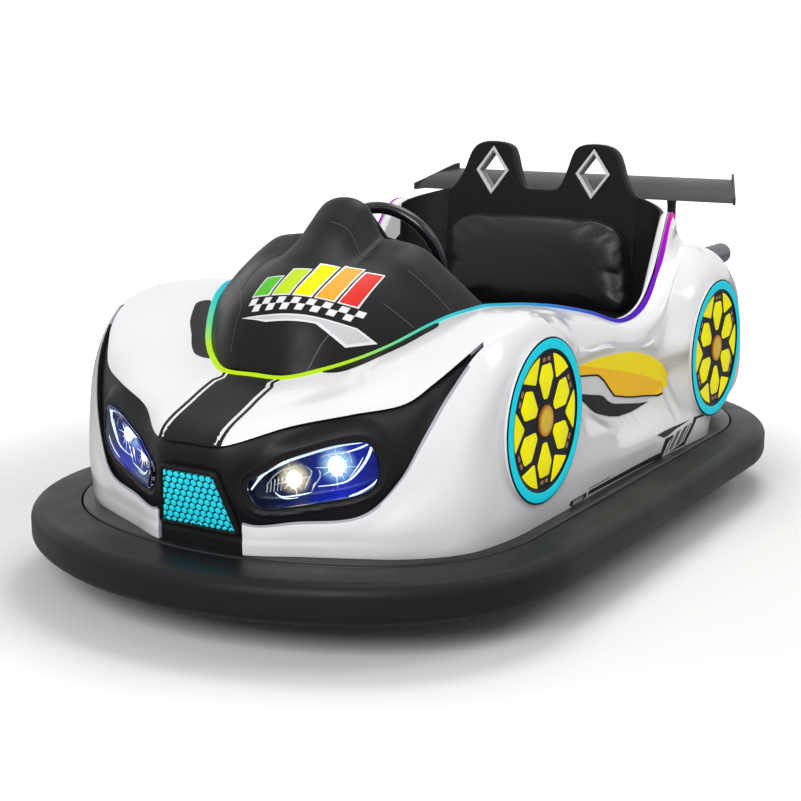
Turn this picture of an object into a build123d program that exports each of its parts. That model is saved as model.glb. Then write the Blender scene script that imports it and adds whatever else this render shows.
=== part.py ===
from build123d import *

import math
import os

# Two-seat battery bumper car.  Millimetres.  +Z up, the nose points along -Y, the driver's left is +X.
# The origin is on the floor under the middle of the bumper ring.

# ---------------------------------------------------------------- driving dimensions
car_width = 1200.0            # over the bumper ring
car_length = 1980.0
ring_bottom = 85.0            # floor to the underside of the bumper ring
ring_height = 80.0
ring_edge_radius = 26.0       # rounded outer edges of the rubber ring
nose_bow = 1.2                # plan radius of the ring's nose, in half widths of the ring
nose_corner_bow = 0.75
tail_bow = 2.7167
tail_corner_bow = 0.7833
ring_side = 94.0              # width of the rubber beside, before and behind the deck
ring_nose = 117.0
ring_tail = 55.0

deck_nose_bow = 1.3636        # the deck's own plan radii, in half widths of the deck
deck_tail_bow = 3.1126
deck_nose_corner_bow = 0.7213
deck_tail_corner_bow = 0.7806
deck_width = 80.0
deck_top = 167.6
deck_plate = 5.0
seam = 0.4                    # gap left between neighbouring pieces of one body

shell_thickness = 5.0         # glass-fibre body
mask_setback = 6.0            # the black headlight mask lies this far behind the body surface

rail = 40.0                   # square tube of the chassis
rail_bottom = 95.0
floor_plate = 4.0

tyre_radius_rear = 60.0
tyre_width_rear = 36.0
tyre_radius_drive = 90.0
tyre_width_drive = 44.0
tyre_depth = 17.0
axle_radius = 8.0
running_clearance = 0.05
cheek_gap = 6.0               # wheel side to bracket cheek

wheel_rim_radius = 127.0      # steering wheel, to the middle of its grip
grip_radius = 13.0
wheel_height = 625.0
wheel_tilt = 20.0             # degrees from upright
hub_radius = 34.0
hub_length = 44.0
spoke_width = 26.0
spoke_thickness = 6.0
column_radius = 16.0
shaft_radius = 11.0
shaft_length = 225.0          # from the middle of the steering wheel

disc_radius = 163.0           # round covers on the sides
disc_thickness = 8.6
insert_thickness = 2.0        # yellow panels in the scoops

seat_lean = 6.0               # degrees
seat_plate = 32.0
seat_origin_height = 770.0
pad_thickness = 45.0
cushion_height = 70.0
cushion_corner = 30.0
cushion_gap = 15.0            # cushion side to seat box side
seat_box_top = 345.0
box_wall = 4.0
wall_draft = 0.93             # foot of the cockpit wall, as a share of its top's x
cockpit_wall = 4.0
battery_height = 175.0
diamond_half_width = 40.0
diamond_half_height = 54.0
diamond_frame = 6.0
cowl_thickness = 4.0
dash_plate = 4.0

light_width = 8.0             # light strip along the rim
light_height = 5.0
sticker_thickness = 1.5       # strip and vents laid on the hood
lamp_thickness = 6.0
mesh_plate = 5.0

spoiler_thickness = 14.0
spoiler_fin = 5.0             # upturned tips of the wing
fin_height = 34.0
post_width = 18.0
post_length = 44.0
pipe_radius = 26.0
pipe_wall = 4.0
pipe_length = 116.0

# ---------------------------------------------------------------- places that follow the overall size
base_half_width, base_front, base_rear = 506.0, -873.0, 935.0   # deck of the car the tables are drawn for
deck_half_width = car_width / 2 - ring_side
deck_front = ring_nose - car_length / 2
deck_rear = car_length / 2 - ring_tail
width_share = deck_half_width / base_half_width
length_share = (deck_rear - deck_front) / (base_rear - base_front)


def across(x):
    """A table's x on a car of this width."""
    return x * width_share


def along(y):
    """A table's y on a car of this length."""
    return deck_front + (y - base_front) * length_share


rear_axle_y = along(560.0)
rear_wheel_x = across(360.0)
drive_y = along(-600.0)
wheel_centre = (0.0, along(-175.0), wheel_height)
seat_half_width = across(300.0)
seat_box_front, seat_box_rear = along(205.0), along(552.0)
seat_front = (0.0, along(556.0), seat_origin_height)
headrest_x = across(140.0)

# ---------------------------------------------------------------- body surface
# One row for each station round the left half of the body, from the middle of the nose to the middle of
# the tail.  Each column is a line that runs round the body:
#   base      foot of the body on the deck, an (x, y) pair
#   wall      widest line of the side           shoulder  where the side turns in
#   brow      lower edge of the headlight mask  lid       upper edge of the mask
#   crown     top of the hood or wing           rim       edge of the cowl and the cockpit
BODY = [
    # base, wall, shoulder, brow
    # lid, crown, rim
    ((0, -852), (0, -853, 205), (0, -868, 262), (0, -886, 322),
     (0, -882, 373), (0, -785, 424), (0, -680, 457)),
    ((98, -853), (98, -854, 200), (98, -855, 215), (99, -855, 230),
     (70, -878, 374), (80, -780, 428), (74, -681, 466)),
    ((193, -808), (194, -811, 200), (193, -812, 217), (190, -811, 234),
     (170, -797, 407), (160, -705, 452), (128, -632, 477)),
    ((293, -761), (296, -764, 210), (298, -762, 232), (298, -758, 250),
     (270, -748, 431), (240, -650, 482), (175, -581, 496)),
    ((354, -721), (359, -726, 230), (357, -725, 275), (353, -722, 313),
     (350, -694, 450), (300, -590, 516), (215, -527, 517)),
    ((409, -671), (415, -677, 260), (407, -685, 335), (386, -691, 392),
     (385, -652, 484), (340, -535, 545), (250, -469, 543)),
    ((445, -622), (453, -627, 320), (448, -630, 425), (413, -644, 470),
     (411, -608, 517), (368, -480, 565), (276, -418, 561)),
    ((469, -550), (472, -552, 380), (468, -556, 495), (436, -560, 541),
     (428, -548, 548), (390, -425, 575), (297, -370, 570)),
    ((477, -480), (478, -480, 380), (475, -480, 515), (457, -476, 556),
     (435, -440, 570), (404, -390, 577), (310, -335, 574)),
    ((478, -390), (479, -390, 380), (475, -390, 535), (458, -385, 565),
     (438, -370, 573), (408, -350, 577), (322, -300, 572)),
    ((478, -235), (479, -230, 300), (474, -228, 430), (466, -225, 500),
     (445, -225, 537), (410, -225, 560), (343, -232, 566)),
    ((476, -170), (477, -170, 285), (455, -165, 345), (450, -160, 420),
     (446, -150, 475), (420, -140, 528), (368, -140, 554)),
    ((476, -20), (477, -20, 280), (448, -20, 330), (446, -20, 390),
     (448, -20, 450), (428, -20, 497), (393, -20, 528)),
    ((478, 130), (478, 130, 280), (450, 130, 325), (449, 130, 375),
     (450, 130, 425), (434, 130, 463), (404, 130, 490)),
    ((483, 260), (484, 265, 300), (472, 268, 360), (466, 270, 410),
     (460, 270, 450), (440, 265, 484), (401, 255, 503)),
    ((487, 340), (496, 330, 320), (495, 333, 430), (486, 340, 505),
     (466, 350, 545), (432, 370, 570), (395, 345, 560)),
    ((490, 485), (498, 485, 330), (497, 485, 500), (490, 484, 555),
     (470, 480, 592), (430, 470, 632), (378, 468, 690)),
    ((480, 640), (492, 640, 330), (490, 640, 450), (478, 636, 520),
     (452, 628, 558), (412, 612, 592), (338, 575, 668)),
    ((428, 770), (440, 778, 330), (438, 777, 410), (425, 765, 480),
     (395, 745, 520), (335, 700, 562), (250, 612, 648)),
    ((250, 862), (255, 872, 330), (253, 870, 390), (246, 858, 455),
     (225, 835, 495), (190, 735, 548), (120, 618, 642)),
    ((0, 880), (0, 892, 330), (0, 890, 380), (0, 878, 450),
     (0, 853, 490), (0, 746, 546), (0, 618, 641)),
]
BASE, WALL, SHOULDER, BROW, LID, CROWN, RIM = range(7)
MASK_START, HOOD_END, COWL_END, SCOOP_START, SCOOP_END, FLANK_END, LIGHT_END = 1, 7, 9, 11, 14, 16, 17
TAIL = len(BODY) - 1

# The cowl over the driver's feet: rows from the front edge to the rear edge, columns from the middle
# outwards.  Each point is an (x, z) pair at the row's y, and the last column is the body's rim.
COWL = [
    # y      middle      pod edge    shoulder     break        side
    (-679, ((0, 459),   (18, 462),   (34, 464),   (48, 465),   (60, 466))),
    (-619, ((0, 600),   (30, 598),   (62, 588),   (95, 566),   (120, 530))),
    (-516, ((0, 666),   (42, 660),   (88, 643),   (138, 615),  (186, 574))),
    (-430, ((0, 722),   (44, 704),   (96, 674),   (158, 650),  (216, 609))),
    (-352, ((0, 777),   (44, 764),   (88, 706),   (172, 684),  (240, 630))),
    (-330, ((0, 768),   (42, 752),   (86, 698),   (176, 678),  (247, 625))),
]

# Front wall of the footwell, from the middle outwards to where the cockpit wall starts.
TOE_WALL = [
    # top               foot
    ((0, -430, 470),   (0, -455)),
    ((225, -430, 470), (215, -455)),
    ((288, -365, 520), (275, -375)),
]

# Outline of a headlight lens in its own plane: distance along the lens from its inner corner, height.
LENS = [(0, 290), (15, 310), (66, 342), (130, 369), (214, 383), (234, 334), (229, 306), (202, 291),
        (166, 281), (92, 269), (22, 258)]
lens_corner = (across(112.0), along(-849.0))
lens_end = (across(321.0), along(-743.0))
lens_run = 234.35             # between those two places, in the outline's own numbers
lens_plate = 10.0              # depth of the clear cover's edge
lamp_depth = 38.0
lamp_wall = 3.0

# Front face of the grille mesh, its lower and its upper edge: (half width, y, z).
MESH = [(89, -854, 206), (60, -886, 322)]

# Round covers on the sides: (name, y, z, the body's station beside it).
COVERS = [("front", -397.0, 375.0, 9), ("rear", 485.0, 379.0, 16)]

# Half outline of the seat back above the seat box, in the seat back's own plane, measured from its front
# face's origin: (x, height).
SEAT_OUTLINE = [(0, -21), (42, -21), (52, 8), (72, 66), (92, 86), (112, 91), (168, 91), (188, 84), (205, 62),
                (222, 10), (234, -20), (256, -40), (300, -66), (300, -424), (0, -424)]
PAD_OUTLINE = [(217, -104), (250, -116), (277, -144), (277, -340)]

# Side wing of the seat back: four corners at its foot, on the seat box, and four at its top (x, y, z).
SEAT_WING = [((288, 505, 0), (338, 440, 0), (338, 458, 0), (288, 529, 0)),
             ((288, 548, 712), (353, 459, 688), (353, 477, 688), (288, 572, 712))]

# Spoiler wing's lower face, its leading and trailing edge: (half width, y, z).
WING = [(460, 700, 696), (402, 845, 744)]
post_place = (280.0, 735.0)    # middle of a spoiler post's foot
pipe_place = (418.0, 690.0, 588.0)
pipe_foot = (418.0, 735.0)     # middle of its foot
pipe_foot_width, pipe_foot_length = 16.0, 30.0

PARTS = {}


# ---------------------------------------------------------------- helpers
def save(name, *solids):
    PARTS[name] = solids[0] if len(solids) == 1 else Compound(children=list(solids))


def both_sides(shape):
    """The shape and its mirror image across the car's middle plane."""
    return shape, mirror(shape, about=Plane.YZ)


def ring_plan(half_width, front, rear, front_arc, front_corner, rear_arc, rear_corner, inset=0.0):
    """Closed plan outline of two bowed ends, four round corners and two straight sides."""
    front_centre = front + front_arc
    corner_x = half_width - front_corner
    corner_y = front_centre - math.sqrt((front_arc - front_corner) ** 2 - corner_x ** 2)
    rear_centre = rear - rear_arc
    tail_x = half_width - rear_corner
    tail_y = rear_centre + math.sqrt((rear_arc - rear_corner) ** 2 - tail_x ** 2)
    nose_angle = math.atan2(corner_x, front_centre - corner_y)
    tail_angle = math.atan2(tail_x, tail_y - rear_centre)

    def nose(angle, radius, x=0.0, y=front_centre):
        return (x + radius * math.sin(angle), y - radius * math.cos(angle))

    def tail(angle, radius, x=0.0, y=rear_centre):
        return (x + radius * math.sin(angle), y + radius * math.cos(angle))

    quarter = math.pi / 2
    big, small = front_arc - inset, front_corner - inset
    rear_big, rear_small = rear_arc - inset, rear_corner - inset
    nose_join, tail_join = nose(nose_angle, big), tail(tail_angle, rear_big)
    side_front = nose(quarter, small, corner_x, corner_y)
    side_rear = tail(quarter, rear_small, tail_x, tail_y)
    nose_middle = nose((nose_angle + quarter) / 2, small, corner_x, corner_y)
    tail_middle = tail((tail_angle + quarter) / 2, rear_small, tail_x, tail_y)

    def left(point):
        return (-point[0], point[1])

    edges = [
        ThreePointArc(left(nose_join), (0, front_centre - big), nose_join),
        ThreePointArc(nose_join, nose_middle, side_front),
        Line(side_front, side_rear),
        ThreePointArc(side_rear, tail_middle, tail_join),
        ThreePointArc(tail_join, (0, rear_centre + rear_big), left(tail_join)),
        ThreePointArc(left(tail_join), left(tail_middle), left(side_rear)),
        Line(left(side_rear), left(side_front)),
        ThreePointArc(left(side_front), left(nose_middle), left(nose_join)),
    ]
    return make_face(Wire(edges))


def bumper_plan(inset=0.0):
    half = car_width / 2
    return ring_plan(half, -car_length / 2, car_length / 2, nose_bow * half, nose_corner_bow * half,
                     tail_bow * half, tail_corner_bow * half, inset)


def deck_plan(inset=0.0):
    half = deck_half_width
    return ring_plan(half, deck_front, deck_rear, deck_nose_bow * half, deck_nose_corner_bow * half,
                     deck_tail_bow * half, deck_tail_corner_bow * half, inset)


def slab(face, bottom, top):
    return extrude(Pos(0, 0, bottom) * face, amount=top - bottom)


def block(x, y, z):
    """Box from (low, high) pairs."""
    size = [high - low for low, high in (x, y, z)]
    middle = [(high + low) / 2 for low, high in (x, y, z)]
    return Pos(*middle) * Box(*size)


def rod(start, end, radius):
    start, end = Vector(*start), Vector(*end)
    direction = end - start
    plane = Plane(origin=start, z_dir=direction)
    return extrude(plane * Circle(radius), amount=direction.length)


def tube(start, end, radius, wall):
    return rod(start, end, radius) - rod(start, end, radius - wall)


def facet_solid(triangles):
    """Closed solid from outward triangles of points."""
    faces = [Face(Wire.make_polygon(corners, close=True)) for corners in triangles]
    solid = Solid(Shell(faces))
    return solid if solid.volume > 0 else Solid(Shell([-face for face in faces]))


def grid_normals(grid):
    """A unit normal for each point of a grid of points, averaged over the cells that meet there."""
    rows, columns = len(grid), len(grid[0])
    normals = [[Vector(0, 0, 0) for _ in range(columns)] for _ in range(rows)]
    for i in range(rows - 1):
        for j in range(columns - 1):
            across = grid[i + 1][j + 1] - grid[i][j]
            other = grid[i][j + 1] - grid[i + 1][j]
            cell = across.cross(other)
            cell = cell / max(cell.length, 1e-9)
            for a, b in ((i, j), (i + 1, j), (i, j + 1), (i + 1, j + 1)):
                normals[a][b] += cell
    return [[normal.normalized() for normal in row] for row in normals]


def split_cell(a, b, c, d):
    """Two triangles over four corners in ring order, joined along the shorter diagonal."""
    if (a - c).length <= (b - d).length:
        return [(a, b, c), (a, c, d)]
    return [(b, c, d), (b, d, a)]


def thick_panel(outer, inner):
    """Solid between two grids of points: outer and inner skin, closed by its four edges."""
    rows, columns = len(outer), len(outer[0])
    triangles = []

    def quad(*corners):
        triangles.extend(split_cell(*corners))

    for i in range(rows - 1):
        for j in range(columns - 1):
            quad(outer[i][j], outer[i + 1][j], outer[i + 1][j + 1], outer[i][j + 1])
            quad(inner[i][j], inner[i][j + 1], inner[i + 1][j + 1], inner[i + 1][j])
    for i in range(rows - 1):
        quad(outer[i][0], inner[i][0], inner[i + 1][0], outer[i + 1][0])
        quad(outer[i][-1], outer[i + 1][-1], inner[i + 1][-1], inner[i][-1])
    for j in range(columns - 1):
        quad(outer[0][j], outer[0][j + 1], inner[0][j + 1], inner[0][j])
        quad(outer[-1][j], inner[-1][j], inner[-1][j + 1], outer[-1][j + 1])
    return facet_solid(triangles)


def offset_grid(grid, normals, distance):
    return [[p + n * distance for p, n in zip(row, row_normals)] for row, row_normals in zip(grid, normals)]


def sub_grid(grid, first, last, low, high):
    return [row[low:high + 1] for row in grid[first:last + 1]]


def mirrored(rows):
    """Rows of a half grid, continued across the middle plane: from the far side to the near side."""
    other = [[Vector(-p.X, p.Y, p.Z) for p in row] for row in reversed(rows[1:])]
    return other + rows


# ---------------------------------------------------------------- the body surface as a grid
floor_top = rail_bottom + rail + floor_plate
base_height = deck_top + seam


def body_points():
    """The body's table as points, its foot on the deck."""
    return [[Vector(across(x), along(y), height[0] if height else base_height) for x, y, *height in row]
            for row in BODY]


def flattened(normals):
    """The same normals with those in the car's middle plane kept in that plane."""
    for row in (normals[0], normals[-1]):
        for j, normal in enumerate(row):
            row[j] = Vector(0, normal.Y, normal.Z).normalized()
    return normals


POINTS = body_points()
NORMALS = flattened(grid_normals(POINTS))


def skin(first, last, low, high, depth, thickness, whole=None):
    """Panel of the body between stations first..last and columns low..high, its outer face at a depth
    below the body surface.  whole is "nose" or "tail" for a panel that crosses the middle plane."""
    outer = sub_grid(offset_grid(POINTS, NORMALS, -depth), first, last, low, high)
    inner = sub_grid(offset_grid(POINTS, NORMALS, -depth - thickness), first, last, low, high)
    if whole == "nose":
        outer, inner = mirrored(outer), mirrored(inner)
    if whole == "tail":
        outer, inner = [[*rows, *reversed(mirrored(rows[::-1])[:len(rows) - 1])] for rows in (outer, inner)]
    return thick_panel(outer, inner)


def surface_point(station, column, along=0.0, up=0.0):
    """Point and normal on the body, a share of the way to the next station and the next column."""
    def mix(grid, row):
        return grid[row][column] + (grid[row][column + 1] - grid[row][column]) * up
    point = mix(POINTS, station) + (mix(POINTS, station + 1) - mix(POINTS, station)) * along
    normal = mix(NORMALS, station) + (mix(NORMALS, station + 1) - mix(NORMALS, station)) * along
    return point, normal.normalized()


def deck_height(x, y):
    """Height of the top of the body over a place in plan."""
    for i in range(TAIL):
        for j in range(BROW, RIM):
            a, b, c, d = POINTS[i][j], POINTS[i + 1][j], POINTS[i + 1][j + 1], POINTS[i][j + 1]
            for p, q, r in split_cell(a, b, c, d):
                area = (q.X - p.X) * (r.Y - p.Y) - (r.X - p.X) * (q.Y - p.Y)
                if abs(area) < 1e-6:
                    continue
                u = ((x - p.X) * (r.Y - p.Y) - (r.X - p.X) * (y - p.Y)) / area
                v = ((q.X - p.X) * (y - p.Y) - (x - p.X) * (q.Y - p.Y)) / area
                if u >= -1e-6 and v >= -1e-6 and u + v <= 1 + 1e-6:
                    return p.Z + u * (q.Z - p.Z) + v * (r.Z - p.Z)
    raise ValueError(f"no body over {x}, {y}")


def laid_on(piece, *carriers):
    """The piece with what lies inside its carriers cut away: its largest part is kept."""
    for carrier in carriers:
        piece = piece - PARTS[carrier]
    return max(piece.solids(), key=lambda solid: solid.volume)


def standing_on(piece, carrier):
    """The part of an upright that stands above its carrier."""
    left = (piece - PARTS[carrier]).solids()
    return max(left, key=lambda solid: solid.bounding_box().max.Z)


def hexahedron(low, high):
    """Solid between four lower and four upper corners, both listed anticlockwise from above."""
    triangles = [(low[0], low[2], low[1]), (low[0], low[3], low[2]),
                 (high[0], high[1], high[2]), (high[0], high[2], high[3])]
    for k in range(4):
        n = (k + 1) % 4
        triangles += [(low[k], low[n], high[n]), (low[k], high[n], high[k])]
    return facet_solid(triangles)


# ---------------------------------------------------------------- chassis
drive_clearance = 12.0         # room round the steered drive unit
motor_radius = 52.0
motor_length = 62.0
cheek = 6.0
fork_half = tyre_width_drive / 2 + cheek_gap
motor_end = fork_half + cheek + motor_length
drive_sweep = math.hypot(motor_end, motor_radius) + drive_clearance
fork_crown_gap = 10.0          # tyre to fork crown
fork_crown = 20.0
bridge_gap = 12.0              # fork crown to bridge
bridge_bottom = 2 * tyre_radius_drive + fork_crown_gap + fork_crown + bridge_gap
bridge_plate = 8.0
bridge_half = 45.0             # of its length along the car
bridge_leg = 24.0
bridge_leg_half = 30.0
bridge_leg_x = drive_sweep + drive_clearance
stem_radius = 18.0
stem_boss = 14.0               # wall of the boss round the stem
stem_rise = 30.0               # boss above the bridge
collar_gap = 5.0               # stem collar to the boss
long_rail_x = max(across(250.0), bridge_leg_x + bridge_leg + rail)
pallet_hole_radius = 6.5
pallet_hole_span = 640.0       # between the front and rear pair of holes
front_rail_inset = 93.0        # end cross rails, from the deck's ends
rear_rail_inset = 175.0
nose_welds = [-299.0, -100.0, 100.0, 299.0]      # welds across the chassis ring's nose and tail
tail_welds = [-148.0, 148.0]
side_weld_front, side_weld_rear = -475.0, 534.0  # ends of its straight sides
cross_rail_y = [deck_front + front_rail_inset, along(-430.0), along(180.0), deck_rear - rear_rail_inset]


def bumper_ring():
    """Rubber ring round the car, its edges rounded, its inner face against the deck."""
    ring = slab(bumper_plan(), ring_bottom, ring_bottom + ring_height)
    outer_edges = ring.edges().filter_by(lambda e: abs(e.center().Z - ring_bottom) < 1
                                         or abs(e.center().Z - ring_bottom - ring_height) < 1)
    ring = fillet(outer_edges, ring_edge_radius)
    save("bumper_ring", ring - slab(deck_plan(-seam), ring_bottom - 1, ring_bottom + ring_height + 1))


def deck_ring():
    """Raised plastic ring between the rubber and the body, with a skirt that stands on the chassis."""
    plate = slab(deck_plan() - deck_plan(deck_width), deck_top - deck_plate, deck_top)
    skirt = slab(deck_plan() - deck_plan(deck_plate), rail_bottom + rail, deck_top)
    save("deck_ring", plate + skirt)


def chassis_ring():
    """Square tube that follows the deck's edge, welded up from bent and straight lengths."""
    height = (rail_bottom, rail_bottom + rail)
    ring = slab(deck_plan(seam) - deck_plan(rail), *height)
    side_front, side_rear = along(side_weld_front), along(side_weld_rear)
    half, lengths = deck_half_width, []
    nose_x = [-half, *(across(x) for x in nose_welds), half]
    tail_x = [-half, *(across(x) for x in tail_welds), half]
    cuts = [((low, high), (deck_front, side_front)) for low, high in zip(nose_x, nose_x[1:])]
    cuts += [((low, high), (side_rear, deck_rear)) for low, high in zip(tail_x, tail_x[1:])]
    cuts += [((low, high), (side_front, side_rear)) for low, high in ((-half, 0), (0, half))]
    for x, y in cuts:
        lengths += (ring & block(x, y, height)).solids()
    save("chassis_ring", *lengths)


def chassis_rails():
    """Long rails with the pallet holes, and the cross rails between them and out to the ring."""
    height = (rail_bottom, rail_bottom + rail)
    inside = slab(deck_plan(rail), *height)
    inner, outer = long_rail_x - rail / 2, long_rail_x + rail / 2
    solids = []
    for x in ((-outer, -inner), (inner, outer)):
        tube_solid = block(x, (deck_front, deck_rear), height) & inside
        for y in (-pallet_hole_span / 2, pallet_hole_span / 2):
            middle = sum(x) / 2
            tube_solid -= rod((middle, y, height[0] - 1), (middle, y, height[1] + 1), pallet_hole_radius)
        solids.append(tube_solid)
    for y in cross_rail_y:
        for x in ((-deck_half_width, -outer), (-inner, inner), (outer, deck_half_width)):
            solids.append(block(x, (y - rail / 2, y + rail / 2), height) & inside)
    save("chassis_rails", *solids)


def drive_bridge():
    """Bridge over the drive wheel: two legs on feet from the long rails, a plate and the stem's boss."""
    height = (rail_bottom, rail_bottom + rail)
    reach = bridge_leg_x + bridge_leg
    leg_y = (drive_y - bridge_leg_half, drive_y + bridge_leg_half)
    solids = []
    for side in (-1, 1):
        leg = sorted((side * bridge_leg_x, side * reach))
        foot = sorted((side * reach, side * (long_rail_x - rail / 2)))
        solids += [block(leg, leg_y, (rail_bottom, bridge_bottom)), block(foot, leg_y, height)]
    plate_top = bridge_bottom + bridge_plate
    plate_y = (drive_y - bridge_half, drive_y + bridge_half)
    plate = block((-reach, reach), plate_y, (bridge_bottom, plate_top))
    boss_low, boss_high = bridge_bottom - collar_gap, plate_top + stem_rise
    plate += rod((0, drive_y, boss_low), (0, drive_y, boss_high), stem_radius + stem_boss)
    plate -= rod((0, drive_y, boss_low - 1), (0, drive_y, boss_high + 1), stem_radius + running_clearance)
    save("drive_bridge", *solids, plate)


def floor_pan():
    """Steel floor on top of the frame, open over the drive fork."""
    pan = slab(deck_plan(2 * deck_plate), rail_bottom + rail, floor_top)
    pan -= rod((0, drive_y, 0), (0, drive_y, deck_top), drive_sweep)
    hole_half = bridge_leg_half + 2 * seam
    for side in (-1, 1):
        x = sorted((side * (bridge_leg_x - 2 * seam), side * (bridge_leg_x + bridge_leg + 2 * seam)))
        pan -= block(x, (drive_y - hole_half, drive_y + hole_half), (0, deck_top))
    save("floor_pan", pan)


# ---------------------------------------------------------------- wheels
def wheel(name, centre, radius, width):
    """Tyre and hub on a cross axle."""
    x, y = centre
    bore = rod((x - width, y, radius), (x + width, y, radius), axle_radius + running_clearance)
    rim_radius = radius - tyre_depth

    def disc(outer, half):
        return rod((x - half, y, radius), (x + half, y, radius), outer)

    tyre = disc(radius, width / 2) - disc(rim_radius, width)
    tyre = fillet(tyre.edges().filter_by(lambda e: e.radius > radius - 1 if e.geom_type == GeomType.CIRCLE
                                         else False), 6)
    hub = disc(rim_radius - seam / 2, width / 2 - 4) - disc(rim_radius - 8, width)
    hub += disc(rim_radius - 6, 5) + disc(axle_radius + 9, width / 2 + 1)
    save(f"{name}_tyre", tyre)
    save(f"{name}_hub", hub - bore)


def rear_wheel_brackets():
    """A pair of cheeks with an axle for each rear wheel, hung under the floor."""
    top = rail_bottom + rail
    brackets = []
    for side in (-1, 1):
        x = side * rear_wheel_x
        half = tyre_width_rear / 2 + cheek_gap
        y, foot = rear_axle_y, tyre_radius_rear - 16
        profile = Polyline((y - 22, foot), (y + 22, foot), (y + 60, top), (y - 60, top), close=True)
        cheeks = None
        for low in (x - half - cheek, x + half):
            plate = extrude(Plane(origin=(low, 0, 0), x_dir=(0, 1, 0), z_dir=(1, 0, 0)) * make_face(profile),
                            amount=cheek)
            cheeks = plate if cheeks is None else cheeks + plate
        axle = rod((x - half - cheek, rear_axle_y, tyre_radius_rear),
                   (x + half + cheek, rear_axle_y, tyre_radius_rear), axle_radius)
        brackets.append(cheeks + axle)
    save("rear_wheel_brackets", *brackets)


def drive_fork():
    """Steered fork with its stem, collar, cheeks and axle, and the motor on its side."""
    crown_low = 2 * tyre_radius_drive + fork_crown_gap
    crown_high = crown_low + fork_crown
    half = fork_half + cheek
    fork = block((-half, half), (drive_y - 32, drive_y + 32), (crown_low, crown_high))
    for side in (-1, 1):
        x = sorted((side * fork_half, side * half))
        fork += block(x, (drive_y - 26, drive_y + 26), (tyre_radius_drive - 24, crown_low))
    stem_top = bridge_bottom + bridge_plate + stem_rise + 8
    collar_top = bridge_bottom - 2 * collar_gap
    fork += rod((0, drive_y, crown_high), (0, drive_y, stem_top), stem_radius)
    fork += rod((0, drive_y, crown_high), (0, drive_y, collar_top), stem_radius + 12)
    fork += rod((-half, drive_y, tyre_radius_drive), (half, drive_y, tyre_radius_drive), axle_radius)
    save("drive_fork", fork)
    save("drive_motor", rod((half + seam, drive_y, tyre_radius_drive),
                            (half + motor_length, drive_y, tyre_radius_drive), motor_radius))


# ---------------------------------------------------------------- body
def body_shells():
    save("hood_shell", skin(0, HOOD_END, LID, RIM, 0, shell_thickness, "nose"))
    save("tail_shell", skin(FLANK_END, TAIL, BASE, RIM, 0, shell_thickness, "tail"))
    for side, name in ((1, "left"), (-1, "right")):
        fender = skin(MASK_START, HOOD_END, BASE, BROW, 0, shell_thickness)
        flank = skin(HOOD_END, FLANK_END, BASE, RIM, 0, shell_thickness)
        insert = skin(SCOOP_START, SCOOP_END, SHOULDER, LID, -seam - insert_thickness, insert_thickness)
        for label, panel in (("nose_panel", fender), ("flank", flank), ("side_insert", insert)):
            save(f"{label}_{name}", panel if side > 0 else mirror(panel, about=Plane.YZ))
        save(f"side_insert_{name}", laid_on(PARTS[f"side_insert_{name}"], f"flank_{name}"))


def lamp_plane():
    """Upright plane of a headlight lens, its x along the lens and its z into the nose."""
    direction = Vector(lens_end[0] - lens_corner[0], lens_end[1] - lens_corner[1], 0).normalized()
    return Plane(origin=(*lens_corner, 0), x_dir=direction, z_dir=(direction.Y, -direction.X, 0))


def lamp_solid(grow, front, back):
    """Block of the lens outline, grown sideways, between two depths behind the lens face."""
    stretch = math.dist(lens_corner, lens_end) / lens_run
    outline = make_face(Polyline(*[(u * stretch, z) for u, z in LENS], close=True))
    if grow:
        outline = offset(outline, amount=grow, kind=Kind.INTERSECTION)
    plane = lamp_plane()
    return extrude((plane.offset(-back)) * outline, amount=back - front)


def headlights():
    """Black mask over the nose with a hole for each lamp, the lens plates and the lamp bowls."""
    mask = skin(MASK_START, HOOD_END, BROW, LID, mask_setback, shell_thickness)
    mask -= lamp_solid(2 * seam, -60, 60)
    lens = lamp_solid(0, 0, lens_plate)
    bowl = lamp_solid(0, lens_plate + seam, lamp_depth)
    bowl -= lamp_solid(-lamp_wall, lens_plate, lamp_depth - lamp_wall)
    save("headlight_masks", *both_sides(mask))
    save("headlight_lenses", *both_sides(lens))
    save("headlight_bowls", *both_sides(bowl))


def grille():
    """Black centre panel of the nose and the mesh plate in front of it."""
    save("grille_frame", skin(0, MASK_START, BASE, LID, mask_setback, shell_thickness, "nose"))
    corners = []
    for half, y, z in MESH:
        x, front = across(half), along(y)
        corners.append([Vector(-x, front, z), Vector(x, front, z), Vector(x, front + mesh_plate, z),
                        Vector(-x, front + mesh_plate, z)])
    save("grille_mesh", hexahedron(*corners))


def rim_strip(first, last, width, height, lift):
    """Strip that lies on the body along the rim, from one side round the nose to the other."""
    outer, inner = [], []
    for i in range(first, last + 1):
        across = (POINTS[i][RIM] - POINTS[i][CROWN]).normalized()
        edge = [POINTS[i][RIM] - across * d for d in (width + 1, 1)]
        outer.append([p + NORMALS[i][RIM] * (lift + height) for p in edge])
        inner.append([p + NORMALS[i][RIM] * lift for p in edge])
    return thick_panel(mirrored(outer), mirrored(inner))


def surface_grids(rows, lift, thickness):
    """Outer and inner points of a plate on the body, from rows of (station, column, along, up) places."""
    places = [[surface_point(*place) for place in row] for row in rows]
    return [[[p + n * height for p, n in row] for row in places] for height in (lift + thickness, lift)]


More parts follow.
